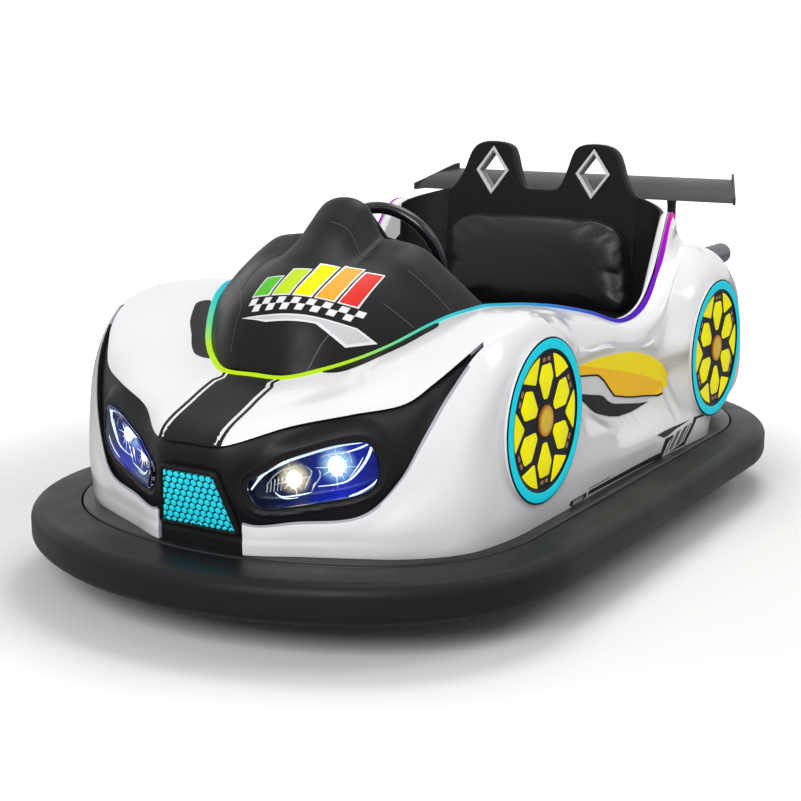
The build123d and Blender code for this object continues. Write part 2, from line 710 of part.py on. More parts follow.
def trim():
    """Light strip along the rim, strip and vents on the hood, tail lamps, covers on the sides."""
    strip = rim_strip(0, LIGHT_END, light_width, light_height, 2 * seam)
    save("light_strip", laid_on(strip, "hood_shell", "flank_left", "flank_right", "tail_shell"))
    rows = [[(0, LID, a, 0.0), (0, LID, a, 1.0), (0, CROWN, a, 0.86)] for a in (0.0, 0.9)]
    outer, inner = surface_grids(rows, seam, sticker_thickness)
    save("hood_strip", laid_on(thick_panel(mirrored(outer), mirrored(inner)), "hood_shell"))
    rows = [[(s, CROWN, a, u) for u in (0.35, 0.84)] for s, a in ((3, 0.4), (4, 0.0), (5, 0.0), (6, 0.0))]
    vent = thick_panel(*surface_grids(rows, 2 * seam, sticker_thickness))
    save("hood_vents", *both_sides(laid_on(vent, "hood_shell")))
    rows = [[(18, SHOULDER, a, u) for u in (0.15, 0.85)] for a in (0.25, 0.8)]
    lamp = thick_panel(*surface_grids(rows, 2 * seam, lamp_thickness))
    save("tail_lamps", *both_sides(laid_on(lamp, "tail_shell")))
    for label, y, z, station in COVERS:
        inside = POINTS[station][WALL].X + seam
        cover = rod((inside, along(y), z), (inside + disc_thickness, along(y), z), disc_radius)
        for side, solid in zip(("left", "right"), both_sides(cover)):
            save(f"wheel_cover_{label}_{side}", solid)


def rim_at(y):
    """Point of the body's rim at a y between the nose and the cockpit."""
    for a, b in zip(POINTS, POINTS[1:]):
        low, high = a[RIM], b[RIM]
        if low.Y <= y <= high.Y:
            return low + (high - low) * ((y - low.Y) / (high.Y - low.Y))
    return POINTS[1][RIM]


def cowl():
    """Moulded cover between the hood and the steering wheel, and the panel that closes it."""
    rows = []
    for y, row in COWL:
        edge = rim_at(along(y))
        points = [Vector(across(x), along(y), z) for x, z in row]
        rows.append(points + [Vector(edge.X - 2 * seam, along(y), edge.Z + seam)])
    columns = len(rows[0])
    grid = [[rows[i][columns - 1 - j] for i in range(len(rows))] for j in range(columns)]
    normals = grid_normals(grid)
    for j, row in enumerate(normals):
        row[-1] = Vector(row[-1].X, 0, row[-1].Z).normalized()
    normals[-1] = [Vector(0, n.Y, n.Z).normalized() for n in normals[-1]]
    sign = 1 if normals[2][2].Z > 0 else -1
    inner = [[p - n * (sign * cowl_thickness) for p, n in zip(a, b)] for a, b in zip(grid, normals)]
    other = [[[Vector(-p.X, p.Y, p.Z) for p in row] for row in reversed(g[:-1])] for g in (grid, inner)]
    save("dash_cowl", thick_panel(grid + other[0], inner + other[1]))
    profile = [(p.X, p.Z) for p in rows[-1]]
    half = profile + [(across(290), 560), (across(262), 505)]
    outline = half + [(-x, z) for x, z in reversed(half[1:])]
    back = rows[-1][0].Y + seam
    panel = extrude(Plane(origin=(0, back, 0), x_dir=(1, 0, 0), z_dir=(0, -1, 0))
                    * make_face(Polyline(*outline, close=True)), amount=-dash_plate)
    save("dash_panel", panel - rod(*column_line(-20, 400), column_radius + seam))


def column_axis():
    tilt = math.radians(wheel_tilt)
    return Vector(0, -math.cos(tilt), -math.sin(tilt))


def column_line(start, end):
    """Two points on the steering axis, at distances forward of the steering wheel's middle."""
    centre, axis = Vector(*wheel_centre), column_axis()
    return tuple(centre + axis * start), tuple(centre + axis * end)


def steering():
    """Column tube on the dash panel, and the steering wheel with its spokes, hub and shaft."""
    save("steering_column", rod(*column_line(70, shaft_length + 10), column_radius)
         - rod(*column_line(60, shaft_length + 20), shaft_radius + running_clearance))
    plane = Plane(origin=wheel_centre, x_dir=(1, 0, 0), z_dir=-column_axis())
    wheel_shape = plane * Torus(wheel_rim_radius, grip_radius)
    for angle in (0, 90, 180):
        wheel_shape += (plane * Rot(0, 0, angle) * Pos(wheel_rim_radius / 2, 0, -spoke_thickness)
                        * Box(wheel_rim_radius, spoke_width, spoke_thickness))
    wheel_shape += rod(*column_line(-10, hub_length - 10), hub_radius)
    save("steering_wheel", wheel_shape + rod(*column_line(0, shaft_length), shaft_radius))


def cockpit():
    """Inner wall of the cockpit and footwell, from the floor to just inside the rim."""
    tops, feet = [], []
    for top, foot in TOE_WALL:
        tops.append(Vector(across(top[0]), along(top[1]), top[2]))
        feet.append(Vector(across(foot[0]), along(foot[1]), floor_top + seam))
    middle = Vector(0, along(150), 0)
    for i in range(COWL_END, TAIL + 1):
        rim = POINTS[i][RIM]
        inward = (Vector(rim.X, rim.Y, 0) - middle).normalized()
        top = rim - inward * (shell_thickness + 1) - Vector(0, 0, 1)
        tops.append(top)
        feet.append(Vector(top.X * wall_draft, top.Y, floor_top + seam))
    outer = [[foot, (foot + top) / 2, top] for foot, top in zip(feet, tops)]
    normals = flattened(grid_normals(outer))
    inner = [[p - Vector(n.X, n.Y, 0) * cockpit_wall for p, n in zip(row, row_normals)]
             for row, row_normals in zip(outer, normals)]
    loops = [grid + [[Vector(-p.X, p.Y, p.Z) for p in row] for row in reversed(grid[1:-1])]
             for grid in (outer, inner)]
    save("cockpit_wall", closed_wall(*loops))


def bench():
    """Seat box with the battery in it, and the pedal in front."""
    x, y, z = (-seat_half_width, seat_half_width), (seat_box_front, seat_box_rear), (floor_top, seat_box_top)
    box = block(x, y, z)
    inside = [(low + box_wall, high - box_wall) for low, high in (x, y)]
    box -= block(*inside, (floor_top - 1, seat_box_top - box_wall))
    save("seat_box", box)
    battery_x = seat_half_width - 60
    save("battery_block", block((-battery_x, battery_x), (seat_box_front + 45, seat_box_rear - 32),
                                (floor_top, floor_top + battery_height)))
    corners = []
    for y, z in ((-400, floor_top), (-350, floor_top + 90)):
        places = ((60, 0), (130, 0), (130, 15), (60, 15))
        corners.append([Vector(x, along(y) + dy, z) for x, dy in places])
    save("accelerator_pedal", hexahedron(*corners))


def closed_wall(outer, inner):
    """Wall that runs right round, from rows of points that don't repeat the first row."""
    triangles = []
    count, columns = len(outer), len(outer[0])
    for i in range(count):
        n = (i + 1) % count
        for j in range(columns - 1):
            a, b, c, d = outer[i][j], outer[n][j], outer[n][j + 1], outer[i][j + 1]
            e, f, g, h = inner[i][j], inner[n][j], inner[n][j + 1], inner[i][j + 1]
            triangles += [(a, b, c), (a, c, d), (e, g, f), (e, h, g)]
        low = (outer[i][0], outer[n][0], inner[n][0], inner[i][0])
        top = (outer[i][-1], outer[n][-1], inner[n][-1], inner[i][-1])
        triangles += [(low[0], low[2], low[1]), (low[0], low[3], low[2]),
                      (top[0], top[1], top[2]), (top[0], top[2], top[3])]
    return facet_solid(triangles)


def seat():
    """Seat back shell with two headrests and side wings, its back pad, the cushion, the diamond frames."""
    lean = math.radians(seat_lean)
    front = Plane(origin=seat_front, x_dir=(1, 0, 0), z_dir=(0, -math.cos(lean), math.sin(lean)))
    foot = (seat_box_top - seat_front[2]) / math.cos(lean)
    outline = [(across(x), max(v, foot)) for x, v in SEAT_OUTLINE]
    outline += [(-x, v) for x, v in reversed(outline[1:-1])]
    shell = extrude(front * make_face(Polyline(*outline, close=True)), amount=-seat_plate)
    shell -= block((-deck_half_width, deck_half_width), (seat_box_front, deck_rear), (0, seat_box_top))
    shell += seat_wing(1) + seat_wing(-1)
    frames = []
    for x in (-headrest_x, headrest_x):
        hole, rim, gap = (diamond(x, grow) for grow in (0, diamond_frame - seam, diamond_frame))
        shell -= extrude(front.offset(1) * gap, amount=-seat_plate - 2)
        frames.append(extrude(front.offset(2) * rim, amount=-seat_plate - 2)
                      - extrude(front.offset(3) * hole, amount=-seat_plate - 4))
    save("seat_back_shell", shell)
    save("headrest_frames", *frames)
    half = [(across(x), v) for x, v in PAD_OUTLINE]
    pad = make_face(Polyline(*half, *[(-x, v) for x, v in reversed(half)], close=True))
    save("seat_back_pad", extrude(front.offset(seam) * pad, amount=pad_thickness))
    cushion_x = seat_half_width - cushion_gap
    cushion_rear = seat_box_rear - pad_thickness - 2
    cushion = block((-cushion_x, cushion_x), (seat_box_front - 5, cushion_rear),
                    (seat_box_top + seam, seat_box_top + cushion_height))
    save("seat_cushion", fillet(cushion.edges().filter_by(Axis.Z), cushion_corner))


def seat_wing(side):
    """Side wing that closes the seat back to the flank."""
    levels = []
    for level in SEAT_WING:
        corners = [Vector(side * across(x), along(y), z or seat_box_top) for x, y, z in level]
        levels.append(corners if side > 0 else corners[::-1])
    return hexahedron(*levels)


def diamond(x, grow):
    """Upright diamond at a place along the seat back, grown by a margin all round."""
    w, h = diamond_half_width + grow, diamond_half_height + grow * diamond_half_height / diamond_half_width
    return make_face(Polyline((x, -h), (x + w, 0), (x, h), (x - w, 0), close=True))


def tail_fittings():
    """Spoiler wing with upturned tips on two posts, and the open dummy pipes on their feet."""
    (lead_x, lead_y, lead_z), (trail_x, trail_y, trail_z) = [(across(x), along(y), z) for x, y, z in WING]
    low = [Vector(-lead_x, lead_y, lead_z), Vector(lead_x, lead_y, lead_z),
           Vector(trail_x, trail_y, trail_z), Vector(-trail_x, trail_y, trail_z)]
    up = Vector(0, 0, spoiler_thickness)
    wing = hexahedron(low, [p + up for p in low])
    for lead, trail, inward in ((low[1], low[2], -spoiler_fin), (low[0], low[3], spoiler_fin)):
        shift = Vector(inward, 0, 0)
        feet = [lead + shift, lead, trail, trail + shift]
        heads = [feet[0] + up, feet[1] + up, *[p + Vector(0, 0, fin_height) for p in feet[2:]]]
        wing += hexahedron(feet, heads) if inward < 0 else hexahedron(feet[::-1], heads[::-1])
    save("spoiler_wing", wing)
    slope = (trail_z - lead_z) / (trail_y - lead_y)
    posts = []
    for side in (-1, 1):
        foot = upright_foot(side * across(post_place[0]), along(post_place[1]), post_width, post_length)
        head = [Vector(p.X, p.Y, lead_z + (p.Y - lead_y) * slope - seam) for p in foot]
        posts.append(standing_on(hexahedron(foot, head), "tail_shell"))
    save("spoiler_posts", *posts)
    x, y, z = across(pipe_place[0]), along(pipe_place[1]), pipe_place[2]
    pipe = tube((x, y, z), (x, y + pipe_length, z), pipe_radius, pipe_wall)
    pipe += rod((x, y, z), (x, y + pipe_wall, z), pipe_radius)
    foot = upright_foot(across(pipe_foot[0]), along(pipe_foot[1]), pipe_foot_width, pipe_foot_length)
    pipe += hexahedron(foot, [Vector(p.X, p.Y, z - pipe_radius + pipe_wall) for p in foot])
    save("exhaust_pipes", *both_sides(standing_on(pipe, "tail_shell")))


def upright_foot(x, y, width, length):
    """Four corners of an upright's foot, sunk half a shell into the body below."""
    offsets = ((-width, -length), (width, -length), (width, length), (-width, length))
    places = [(x + dx / 2, y + dy / 2) for dx, dy in offsets]
    return [Vector(px, py, deck_height(abs(px), py) - shell_thickness / 2) for px, py in places]


def build():
    bumper_ring()
    deck_ring()
    chassis_ring()
    chassis_rails()
    drive_bridge()
    floor_pan()
    wheel("drive", (0, drive_y), tyre_radius_drive, tyre_width_drive)
    for side, name in ((1, "left"), (-1, "right")):
        wheel(f"rear_{name}", (side * rear_wheel_x, rear_axle_y), tyre_radius_rear, tyre_width_rear)
    rear_wheel_brackets()
    drive_fork()
    body_shells()
    headlights()
    grille()
    trim()
    cowl()
    steering()
    cockpit()
    bench()
    seat()
    tail_fittings()


build()
os.makedirs("parts", exist_ok=True)
for name, shape in PARTS.items():
    export_step(shape, f"parts/{name}.step")
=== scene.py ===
import math

import bmesh
import bpy
import numpy as np
from mathutils import Matrix, Vector
from mathutils.bvhtree import BVHTree


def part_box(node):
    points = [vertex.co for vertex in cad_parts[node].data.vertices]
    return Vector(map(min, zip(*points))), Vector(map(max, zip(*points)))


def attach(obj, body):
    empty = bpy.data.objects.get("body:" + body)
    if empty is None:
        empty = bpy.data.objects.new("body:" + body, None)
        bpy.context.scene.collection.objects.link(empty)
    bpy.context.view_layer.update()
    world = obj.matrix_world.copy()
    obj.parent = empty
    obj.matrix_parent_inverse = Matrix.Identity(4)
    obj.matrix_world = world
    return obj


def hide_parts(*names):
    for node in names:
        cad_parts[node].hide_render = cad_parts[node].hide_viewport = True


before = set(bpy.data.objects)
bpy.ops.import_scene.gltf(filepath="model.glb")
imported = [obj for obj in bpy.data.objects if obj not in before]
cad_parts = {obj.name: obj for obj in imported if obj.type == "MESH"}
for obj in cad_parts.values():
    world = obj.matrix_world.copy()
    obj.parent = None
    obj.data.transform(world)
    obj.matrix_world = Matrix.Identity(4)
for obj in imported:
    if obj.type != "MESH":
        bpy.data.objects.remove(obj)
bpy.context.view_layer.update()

bl_info = {
    "name": "Bumper car",
    "version": (1, 0, 0),
    "blender": (4, 5, 0),
    "location": "3D View > Sidebar > Bumper car",
    "description": "Builds the body, seat, lights and trim of a two-seat battery bumper car on its frame",
    "category": "Object",
}

# Metres.  The nose points along -Y, the driver's left is +X, the floor is z 0.
MM = 0.001
TURN = 2 * math.pi
MIRROR = np.array([-1.0, 1.0, 1.0])
PRINCIPLED = "Principled BSDF"


def metres(rows):
    """Rows of millimetres as rows of metres."""
    return [tuple(value * MM for value in row) for row in rows]


# ---------------------------------------------------------------- the body's cage, in millimetres
# Stations run round the left half of the body, from the middle of the nose to the middle of the tail.
# Columns run round the body: foot, widest line, shoulder, lower and upper edge of the headlight mask,
# crown of the hood or wing, rim of the cowl and the cockpit.
CAGE = [
    ((0, -852, 168), (0, -853, 205), (0, -868, 262), (0, -886, 322),
     (0, -882, 373), (0, -782, 426), (0, -674, 464)),
    ((98, -853, 168), (98, -854, 200), (98, -855, 215), (99, -855, 230),
     (70, -878, 374), (80, -776, 430), (70, -671, 465)),
    ((193, -808, 168), (194, -811, 200), (193, -812, 217), (190, -811, 234),
     (170, -797, 407), (160, -705, 452), (126, -632, 479)),
    ((293, -761, 168), (296, -764, 210), (298, -762, 232), (298, -758, 250),
     (270, -748, 431), (240, -650, 482), (175, -581, 496)),
    ((358, -726, 168), (364, -732, 230), (357, -725, 275), (353, -722, 313),
     (350, -694, 450), (300, -590, 516), (215, -527, 517)),
    ((416, -676, 168), (422, -682, 260), (407, -685, 335), (386, -691, 392),
     (385, -652, 484), (340, -535, 545), (250, -469, 543)),
    ((450, -625, 168), (456, -629, 320), (448, -630, 425), (413, -644, 470),
     (411, -608, 517), (368, -480, 565), (276, -418, 561)),
    ((469, -550, 168), (472, -552, 380), (468, -556, 495), (436, -560, 541),
     (428, -548, 548), (390, -425, 575), (297, -370, 570)),
    ((477, -480, 168), (478, -480, 380), (475, -480, 515), (457, -476, 556),
     (435, -440, 570), (404, -390, 577), (310, -335, 574)),
    ((478, -390, 168), (479, -390, 380), (475, -390, 535), (458, -385, 565),
     (438, -370, 573), (408, -350, 577), (322, -300, 572)),
    ((478, -235, 168), (479, -230, 300), (474, -228, 430), (466, -225, 500),
     (445, -225, 537), (410, -225, 560), (343, -232, 566)),
    ((476, -170, 168), (477, -170, 285), (455, -165, 345), (450, -160, 420),
     (446, -150, 475), (420, -140, 528), (368, -140, 554)),
    ((476, -20, 168), (477, -20, 280), (448, -20, 330), (446, -20, 390),
     (445, -20, 462), (422, -20, 507), (393, -20, 528)),
    ((478, 130, 168), (478, 130, 280), (450, 130, 325), (449, 130, 375),
     (446, 130, 428), (430, 130, 469), (404, 130, 490)),
    ((483, 260, 168), (484, 265, 300), (472, 268, 360), (466, 270, 410),
     (460, 270, 450), (440, 265, 484), (401, 255, 503)),
    ((487, 340, 168), (496, 330, 320), (495, 333, 430), (486, 340, 505),
     (466, 350, 545), (432, 370, 570), (395, 345, 560)),
    ((488, 485, 168), (498, 485, 290), (497, 485, 500), (490, 484, 558),
     (448, 488, 604), (402, 486, 616), (378, 468, 690)),
    ((432, 592, 168), (490, 640, 262), (490, 640, 440), (480, 636, 528),
     (444, 610, 589), (372, 590, 606), (338, 575, 668)),
    ((378, 740, 168), (444, 774, 240), (448, 774, 412), (436, 760, 486),
     (398, 742, 530), (328, 690, 566), (250, 612, 648)),
    ((236, 850, 168), (255, 872, 300), (253, 870, 390), (246, 858, 455),
     (225, 835, 495), (190, 735, 548), (120, 618, 642)),
    ((0, 880, 168), (0, 892, 330), (0, 890, 380), (0, 878, 450),
     (0, 853, 490), (0, 746, 546), (0, 618, 641)),
]
SHOULDER, BROW, LID, CROWN, RIM = range(2, 7)
MASK_START, HOOD_END, LIGHT_END, TAIL = 1, 7, 17, len(CAGE) - 1
# Quads between one station and the next, and between one column and the next.
STATION_CUTS = [8] + [9] * 6 + [12, 14, 30, 16, 30, 30, 26, 16, 28, 24] + [10] * 3
COLUMN_CUTS = [6, 20, 14, 16, 8, 7]
# Columns at which a station's curve is folded: the mask's lower edge, and the foot of the cockpit's pillar.
FOLDS = {1: (BROW,), 2: (BROW,), 3: (BROW,), 4: (BROW,), 16: (CROWN,), 17: (CROWN,)}


# ---------------------------------------------------------------- curves and surfaces
def ease(t):
    """0 to 1 with level ends."""
    t = np.clip(t, 0.0, 1.0)
    return t * t * (3 - 2 * t)


def refine(points, cuts, sharp=()):
    """Smooth curve through rows of points, with cuts[k] steps from row k to the next."""
    points = np.asarray(points, float)
    steps = np.diff(points, axis=0)
    spans = np.maximum(np.linalg.norm(steps, axis=-1, keepdims=True), 1e-6) ** 0.5
    slopes = steps / spans
    before, after = spans[:-1], spans[1:]
    inner = (slopes[:-1] * after + slopes[1:] * before) / (before + after)
    start = np.concatenate([slopes[:1] * 1.5 - inner[:1] * 0.5, inner])
    end = np.concatenate([inner, slopes[-1:] * 1.5 - inner[-1:] * 0.5])
    for k in sharp:
        start[k] = slopes[k] * 1.5 - end[k] * 0.5
        end[k - 1] = slopes[k - 1] * 1.5 - start[k - 1] * 0.5
    rows = []
    for k, count in enumerate(cuts):
        for t in np.arange(count) / count:
            rows.append(points[k] * (2 * t**3 - 3 * t**2 + 1) + points[k + 1] * (3 * t**2 - 2 * t**3)
                        + start[k] * spans[k] * (t**3 - 2 * t**2 + t) + end[k] * spans[k] * (t**3 - t**2))
    rows.append(points[-1])
    return np.array(rows)


def smooth_loop(points, cuts):
    """Closed smooth curve through points."""
    points = list(points)
    wrapped = points[-2:] + points + points[:3]
    rows = refine(wrapped, [cuts] * (len(wrapped) - 1))
    return rows[2 * cuts:(2 + len(points)) * cuts]


def grid_normals(grid):
    """Unit normals of a dense grid of points."""
    normal = np.cross(np.gradient(grid, axis=0), np.gradient(grid, axis=1))
    return normal / np.maximum(np.linalg.norm(normal, axis=-1, keepdims=True), 1e-12)


def outline_depth(outline, a, b):
    """Distance of places (a, b) inside a closed outline, negative outside it."""
    outline = np.asarray(outline, float)
    a, b = np.asarray(a, float), np.asarray(b, float)
    nearest = np.full(a.shape, 1e9)
    inside = np.zeros(a.shape, bool)
    for (x0, y0), (x1, y1) in zip(outline, np.roll(outline, -1, axis=0)):
        dx, dy = x1 - x0, y1 - y0
        t = np.clip(((a - x0) * dx + (b - y0) * dy) / (dx * dx + dy * dy), 0, 1)
        nearest = np.minimum(nearest, np.hypot(a - x0 - t * dx, b - y0 - t * dy))
        crosses = ((y0 > b) != (y1 > b)) & (a < (x1 - x0) * (b - y0) / (y1 - y0 + 1e-12) + x0)
        inside ^= crosses
    return np.where(inside, nearest, -nearest)


def line_near(line, a, b):
    """Distance of places (a, b) from an open line of points, and the share of the line's length there."""
    lengths = [math.dist(p, q) for p, q in zip(line, line[1:])]
    nearest, share, run = np.full(np.shape(a), 1e9), np.zeros(np.shape(a)), 0.0
    for (x0, y0), (x1, y1), length in zip(line, line[1:], lengths):
        dx, dy = x1 - x0, y1 - y0
        t = np.clip(((a - x0) * dx + (b - y0) * dy) / (dx * dx + dy * dy), 0, 1)
        distance = np.hypot(a - x0 - t * dx, b - y0 - t * dy)
        share = np.where(distance < nearest, (run + t * length) / sum(lengths), share)
        nearest = np.minimum(nearest, distance)
        run += length
    return nearest, share


# ---------------------------------------------------------------- mesh helpers
def shaded(piece, angle=None):
    """Smooth shading, with edges sharper than an angle in degrees left sharp."""
    piece.data.polygons.foreach_set("use_smooth", [True] * len(piece.data.polygons))
    if angle is not None:
        piece.data.set_sharp_from_angle(angle=math.radians(angle))
    return piece


def mesh_piece(name, points, faces, materials, body="car", nodes=(), slot=None, smooth=True, sharp=None,
               numbers=None):
    """A mesh object that rides on a body and stands for its CAD nodes.  numbers are its faces' materials."""
    mesh = bpy.data.meshes.new(name)
    mesh.from_pydata([tuple(p) for p in points], [], [tuple(f) for f in faces])
    mesh.validate()
    piece = bpy.data.objects.new(name, mesh)
    bpy.context.scene.collection.objects.link(piece)
    for item in materials if isinstance(materials, list) else [materials]:
        mesh.materials.append(item)
    if numbers:
        mesh.polygons.foreach_set("material_index", numbers)
    if smooth:
        shaded(piece, sharp)
    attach(piece, body)
    if nodes:
        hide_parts(*nodes)
    return piece


def parts_piece(name, parts, materials, outwards=False, **more):
    """One piece of numbered parts; outwards turns the faces of closed parts outwards."""
    points, faces, numbers = joined(parts)
    piece = mesh_piece(name, points, faces, materials, numbers=numbers, **more)
    return recalculated(piece) if outwards else piece


def recalculated(piece, near=None, towards=None, merge=0.0):
    """Turns a closed piece's faces outwards, or an open one's so that the face nearest a place looks towards
    a direction, after merging points closer than merge."""
    work = bmesh.new()
    work.from_mesh(piece.data)
    if merge:
        bmesh.ops.remove_doubles(work, verts=work.verts[:], dist=merge)
    bmesh.ops.recalc_face_normals(work, faces=work.faces[:])
    if near:
        face = min(work.faces, key=lambda f: (f.calc_center_median() - Vector(near)).length)
        if face.normal.dot(Vector(towards)) < 0:
            bmesh.ops.reverse_faces(work, faces=work.faces[:])
    work.to_mesh(piece.data)
    work.free()
    return piece


def grid_faces(rows, columns, first=0, closed=False, flip=False):
    """Quads over a grid of points in row order."""
    faces = []
    for i in range(rows if closed else rows - 1):
        n = (i + 1) % rows
        for j in range(columns - 1):
            here, there = first + i * columns + j, first + n * columns + j
            quad = (here, there, there + 1, here + 1)
            faces.append(quad[::-1] if flip else quad)
    return faces


def tube_faces(rows, size, closed=False, caps=False):
    """Quads round rows of size points each, closed into a ring or with a face over each end."""
    faces = []
    for i in range(rows if closed else rows - 1):
        n = (i + 1) % rows
        for k in range(size):
            m = (k + 1) % size
            faces.append((i * size + k, i * size + m, n * size + m, n * size + k))
    if caps:
        faces += [tuple(range(size))[::-1], tuple(range((rows - 1) * size, rows * size))]
    return faces


def dome_faces(rows, size):
    """Quads round rows of points, and a fan from the last row to the point that follows it."""
    last = (rows - 1) * size
    return tube_faces(rows, size) + [(last + k, last + (k + 1) % size, rows * size) for k in range(size)]


def apply_modifiers(piece):
    """Turns a piece's modifiers into its mesh."""
    graph = bpy.context.evaluated_depsgraph_get()
    mesh = bpy.data.meshes.new_from_object(piece.evaluated_get(graph))
    piece.modifiers.clear()
    piece.data = mesh
    return piece


def thicken(piece, thickness, offset=-1.0, rim=0, even=True):
    """Gives a surface its real thickness, behind its outer face; rim is the edge's step in the materials."""
    solid = piece.modifiers.new("thickness", "SOLIDIFY")
    solid.material_offset_rim = rim
    solid.thickness = thickness
    solid.offset = offset
    solid.use_even_offset = even
    return apply_modifiers(piece)


def rounded(piece, width, segments=3, angle=30):
    """Rounds a piece's hard edges."""
    bevel = piece.modifiers.new("rounding", "BEVEL")
    bevel.width = width
    bevel.segments = segments
    bevel.limit_method = "ANGLE"
    bevel.angle_limit = math.radians(angle)
    return shaded(apply_modifiers(piece), 40)


def sweep_points(path, profile, closed, up):
    """Points and faces of a profile carried along a path of points."""
    path = np.asarray(path, float)
    if closed:
        tangents = np.roll(path, -1, axis=0) - np.roll(path, 1, axis=0)
    else:
        tangents = np.gradient(path, axis=0)
    tangents /= np.linalg.norm(tangents, axis=1, keepdims=True)
    sides = np.cross(tangents, up)
    sides /= np.linalg.norm(sides, axis=1, keepdims=True)
    tops = np.cross(sides, tangents)
    points = [p + s * a + t * b for p, s, t in zip(path, sides, tops) for a, b in profile]
    faces = tube_faces(len(path), len(profile), closed, not closed)
    return np.array(points), [face[::-1] for face in faces]


def oval(half_width, half_height, count):
    """Places round an oval."""
    turns = [k * TURN / count for k in range(count)]
    return [(half_width * math.cos(a), half_height * math.sin(a)) for a in turns]


def joined(parts):
    """One list of points and faces, with a material number for each face, from several parts."""
    points, faces, numbers = [], [], []
    for part_points, part_faces, number in parts:
        first = len(points)
        points.extend(tuple(p) for p in part_points)
        faces.extend(tuple(first + k for k in face) for face in part_faces)
        numbers.extend([number] * len(part_faces))
    return points, faces, numbers


# ---------------------------------------------------------------- materials
def feed(tree, node, inputs):
    """Gives each named input of a node its value, or links it to a socket."""
    for name, value in inputs.items():
        if isinstance(value, bpy.types.NodeSocket):
            tree.links.new(value, node.inputs[name])
        else:
            node.inputs[name].default_value = value


def add_node(tree, kind, inputs=None, **settings):
    """A shader node with its settings and inputs."""
    node = tree.nodes.new("ShaderNode" + kind)
    for name, value in settings.items():
        setattr(node, name, value)
    feed(tree, node, inputs or {})
    return node


def blended(tree, share, first, second):
    """Colour between two colours."""
    return add_node(tree, "Mix", {0: share, 6: first, 7: second}, data_type="RGBA").outputs[2]


def ranged(tree, value, low, high, to_low=0.0, to_high=1.0, interpolation="LINEAR"):
    """Value carried from one range to another."""
    inputs = {"Value": value, "From Min": low, "From Max": high, "To Min": to_low, "To Max": to_high}
    return add_node(tree, "MapRange", inputs, interpolation_type=interpolation).outputs[0]


def math_node(tree, operation, first, second):
    """Result of a sum on two values or sockets."""
    return add_node(tree, "Math", {0: first, 1: second}, operation=operation).outputs[0]


def shader_group(name, inputs, build):
    """A node group with named inputs, made once.  build adds its nodes and gives its named outputs."""
    group = bpy.data.node_groups.get(name)
    if group:
        return group
    group = bpy.data.node_groups.new(name, "ShaderNodeTree")
    for label, default in inputs.items():
        kind = "NodeSocketFloat" if isinstance(default, float) else "NodeSocketColor"
        group.interface.new_socket(label, in_out="INPUT", socket_type=kind).default_value = default
    results = build(group, group.nodes.new("NodeGroupInput").outputs)
    for label, socket in results.items():
        kind = "NodeSocketColor" if socket.type == "RGBA" else "NodeSocketFloat"
        group.interface.new_socket(label, in_out="OUTPUT", socket_type=kind)
    feed(group, group.nodes.new("NodeGroupOutput"), results)
    return group


def build_grain(tree, given):
    """Fine moulded grain: a height, and a colour and a roughness that vary over the surface."""
    place = add_node(tree, "TexCoord").outputs["Object"]
    fine = add_node(tree, "TexNoise", {"Vector": place, "Scale": given["Scale"], "Detail": 4}).outputs["Fac"]
    broad = add_node(tree, "TexNoise", {"Vector": place, "Scale": 9, "Detail": 3}).outputs["Fac"]
    return {"Height": fine, "Color": blended(tree, broad, given["Color A"], given["Color B"]),
            "Roughness": ranged(tree, broad, 0.3, 0.7, given["Rough Low"], given["Rough High"])}


def grain_group():
    return shader_group("moulded grain", {
        "Scale": 900.0, "Color A": (0.5, 0.5, 0.5, 1), "Color B": (0.5, 0.5, 0.5, 1), "Rough Low": 0.4,
        "Rough High": 0.5}, build_grain)


def build_wear(tree, given):
    """Paler rubbed edges, in patches."""
    edge = ranged(tree, add_node(tree, "NewGeometry").outputs["Pointiness"], 0.53, 0.62)
    place = add_node(tree, "TexCoord").outputs["Object"]
    patch = add_node(tree, "TexNoise", {"Vector": place, "Scale": 22, "Detail": 5}).outputs["Fac"]
    share = math_node(tree, "MULTIPLY", math_node(tree, "MULTIPLY", edge, patch), given["Wear"])
    return {"Color": blended(tree, share, given["Color"], given["Edge Color"])}


def wear_group():
    return shader_group("edge wear", {"Color": (0.5, 0.5, 0.5, 1), "Edge Color": (0.6, 0.6, 0.6, 1),
                                      "Wear": 0.5}, build_wear)


def moulded(name, color, shade=0.8, rough=(0.35, 0.45), scale=900.0, bump=0.02, metallic=0.0, coat=0.0,
            coat_rough=0.05, wear=0.0, edge=None, ior=1.5, sheen=0.0, level=0.5):
    """A material of grain, slight colour variation and optional edge wear."""
    material = bpy.data.materials.get(name)
    if material:
        return material
    material = bpy.data.materials.new(name)
    material.use_nodes = True
    tree = material.node_tree
    grain = add_node(tree, "Group", {
        "Scale": scale, "Color A": (*[c * shade for c in color[:3]], 1), "Color B": (*color[:3], 1),
        "Rough Low": rough[0], "Rough High": rough[1]}, node_tree=grain_group()).outputs
    source = grain["Color"]
    if wear:
        edge = (*(edge or [min(1, c * 2.5 + 0.1) for c in color[:3]]), 1)
        source = add_node(tree, "Group", {"Color": source, "Wear": wear, "Edge Color": edge},
                          node_tree=wear_group()).outputs["Color"]
    relief = add_node(tree, "Bump", {"Strength": bump * 10, "Distance": 0.0004, "Height": grain["Height"]})
    feed(tree, tree.nodes[PRINCIPLED], {
        "Base Color": source, "Roughness": grain["Roughness"], "Normal": relief.outputs["Normal"],
        "Metallic": metallic, "Coat Weight": coat, "Coat Roughness": coat_rough, "IOR": ior,
        "Specular IOR Level": level, "Sheen Weight": sheen})
    return material


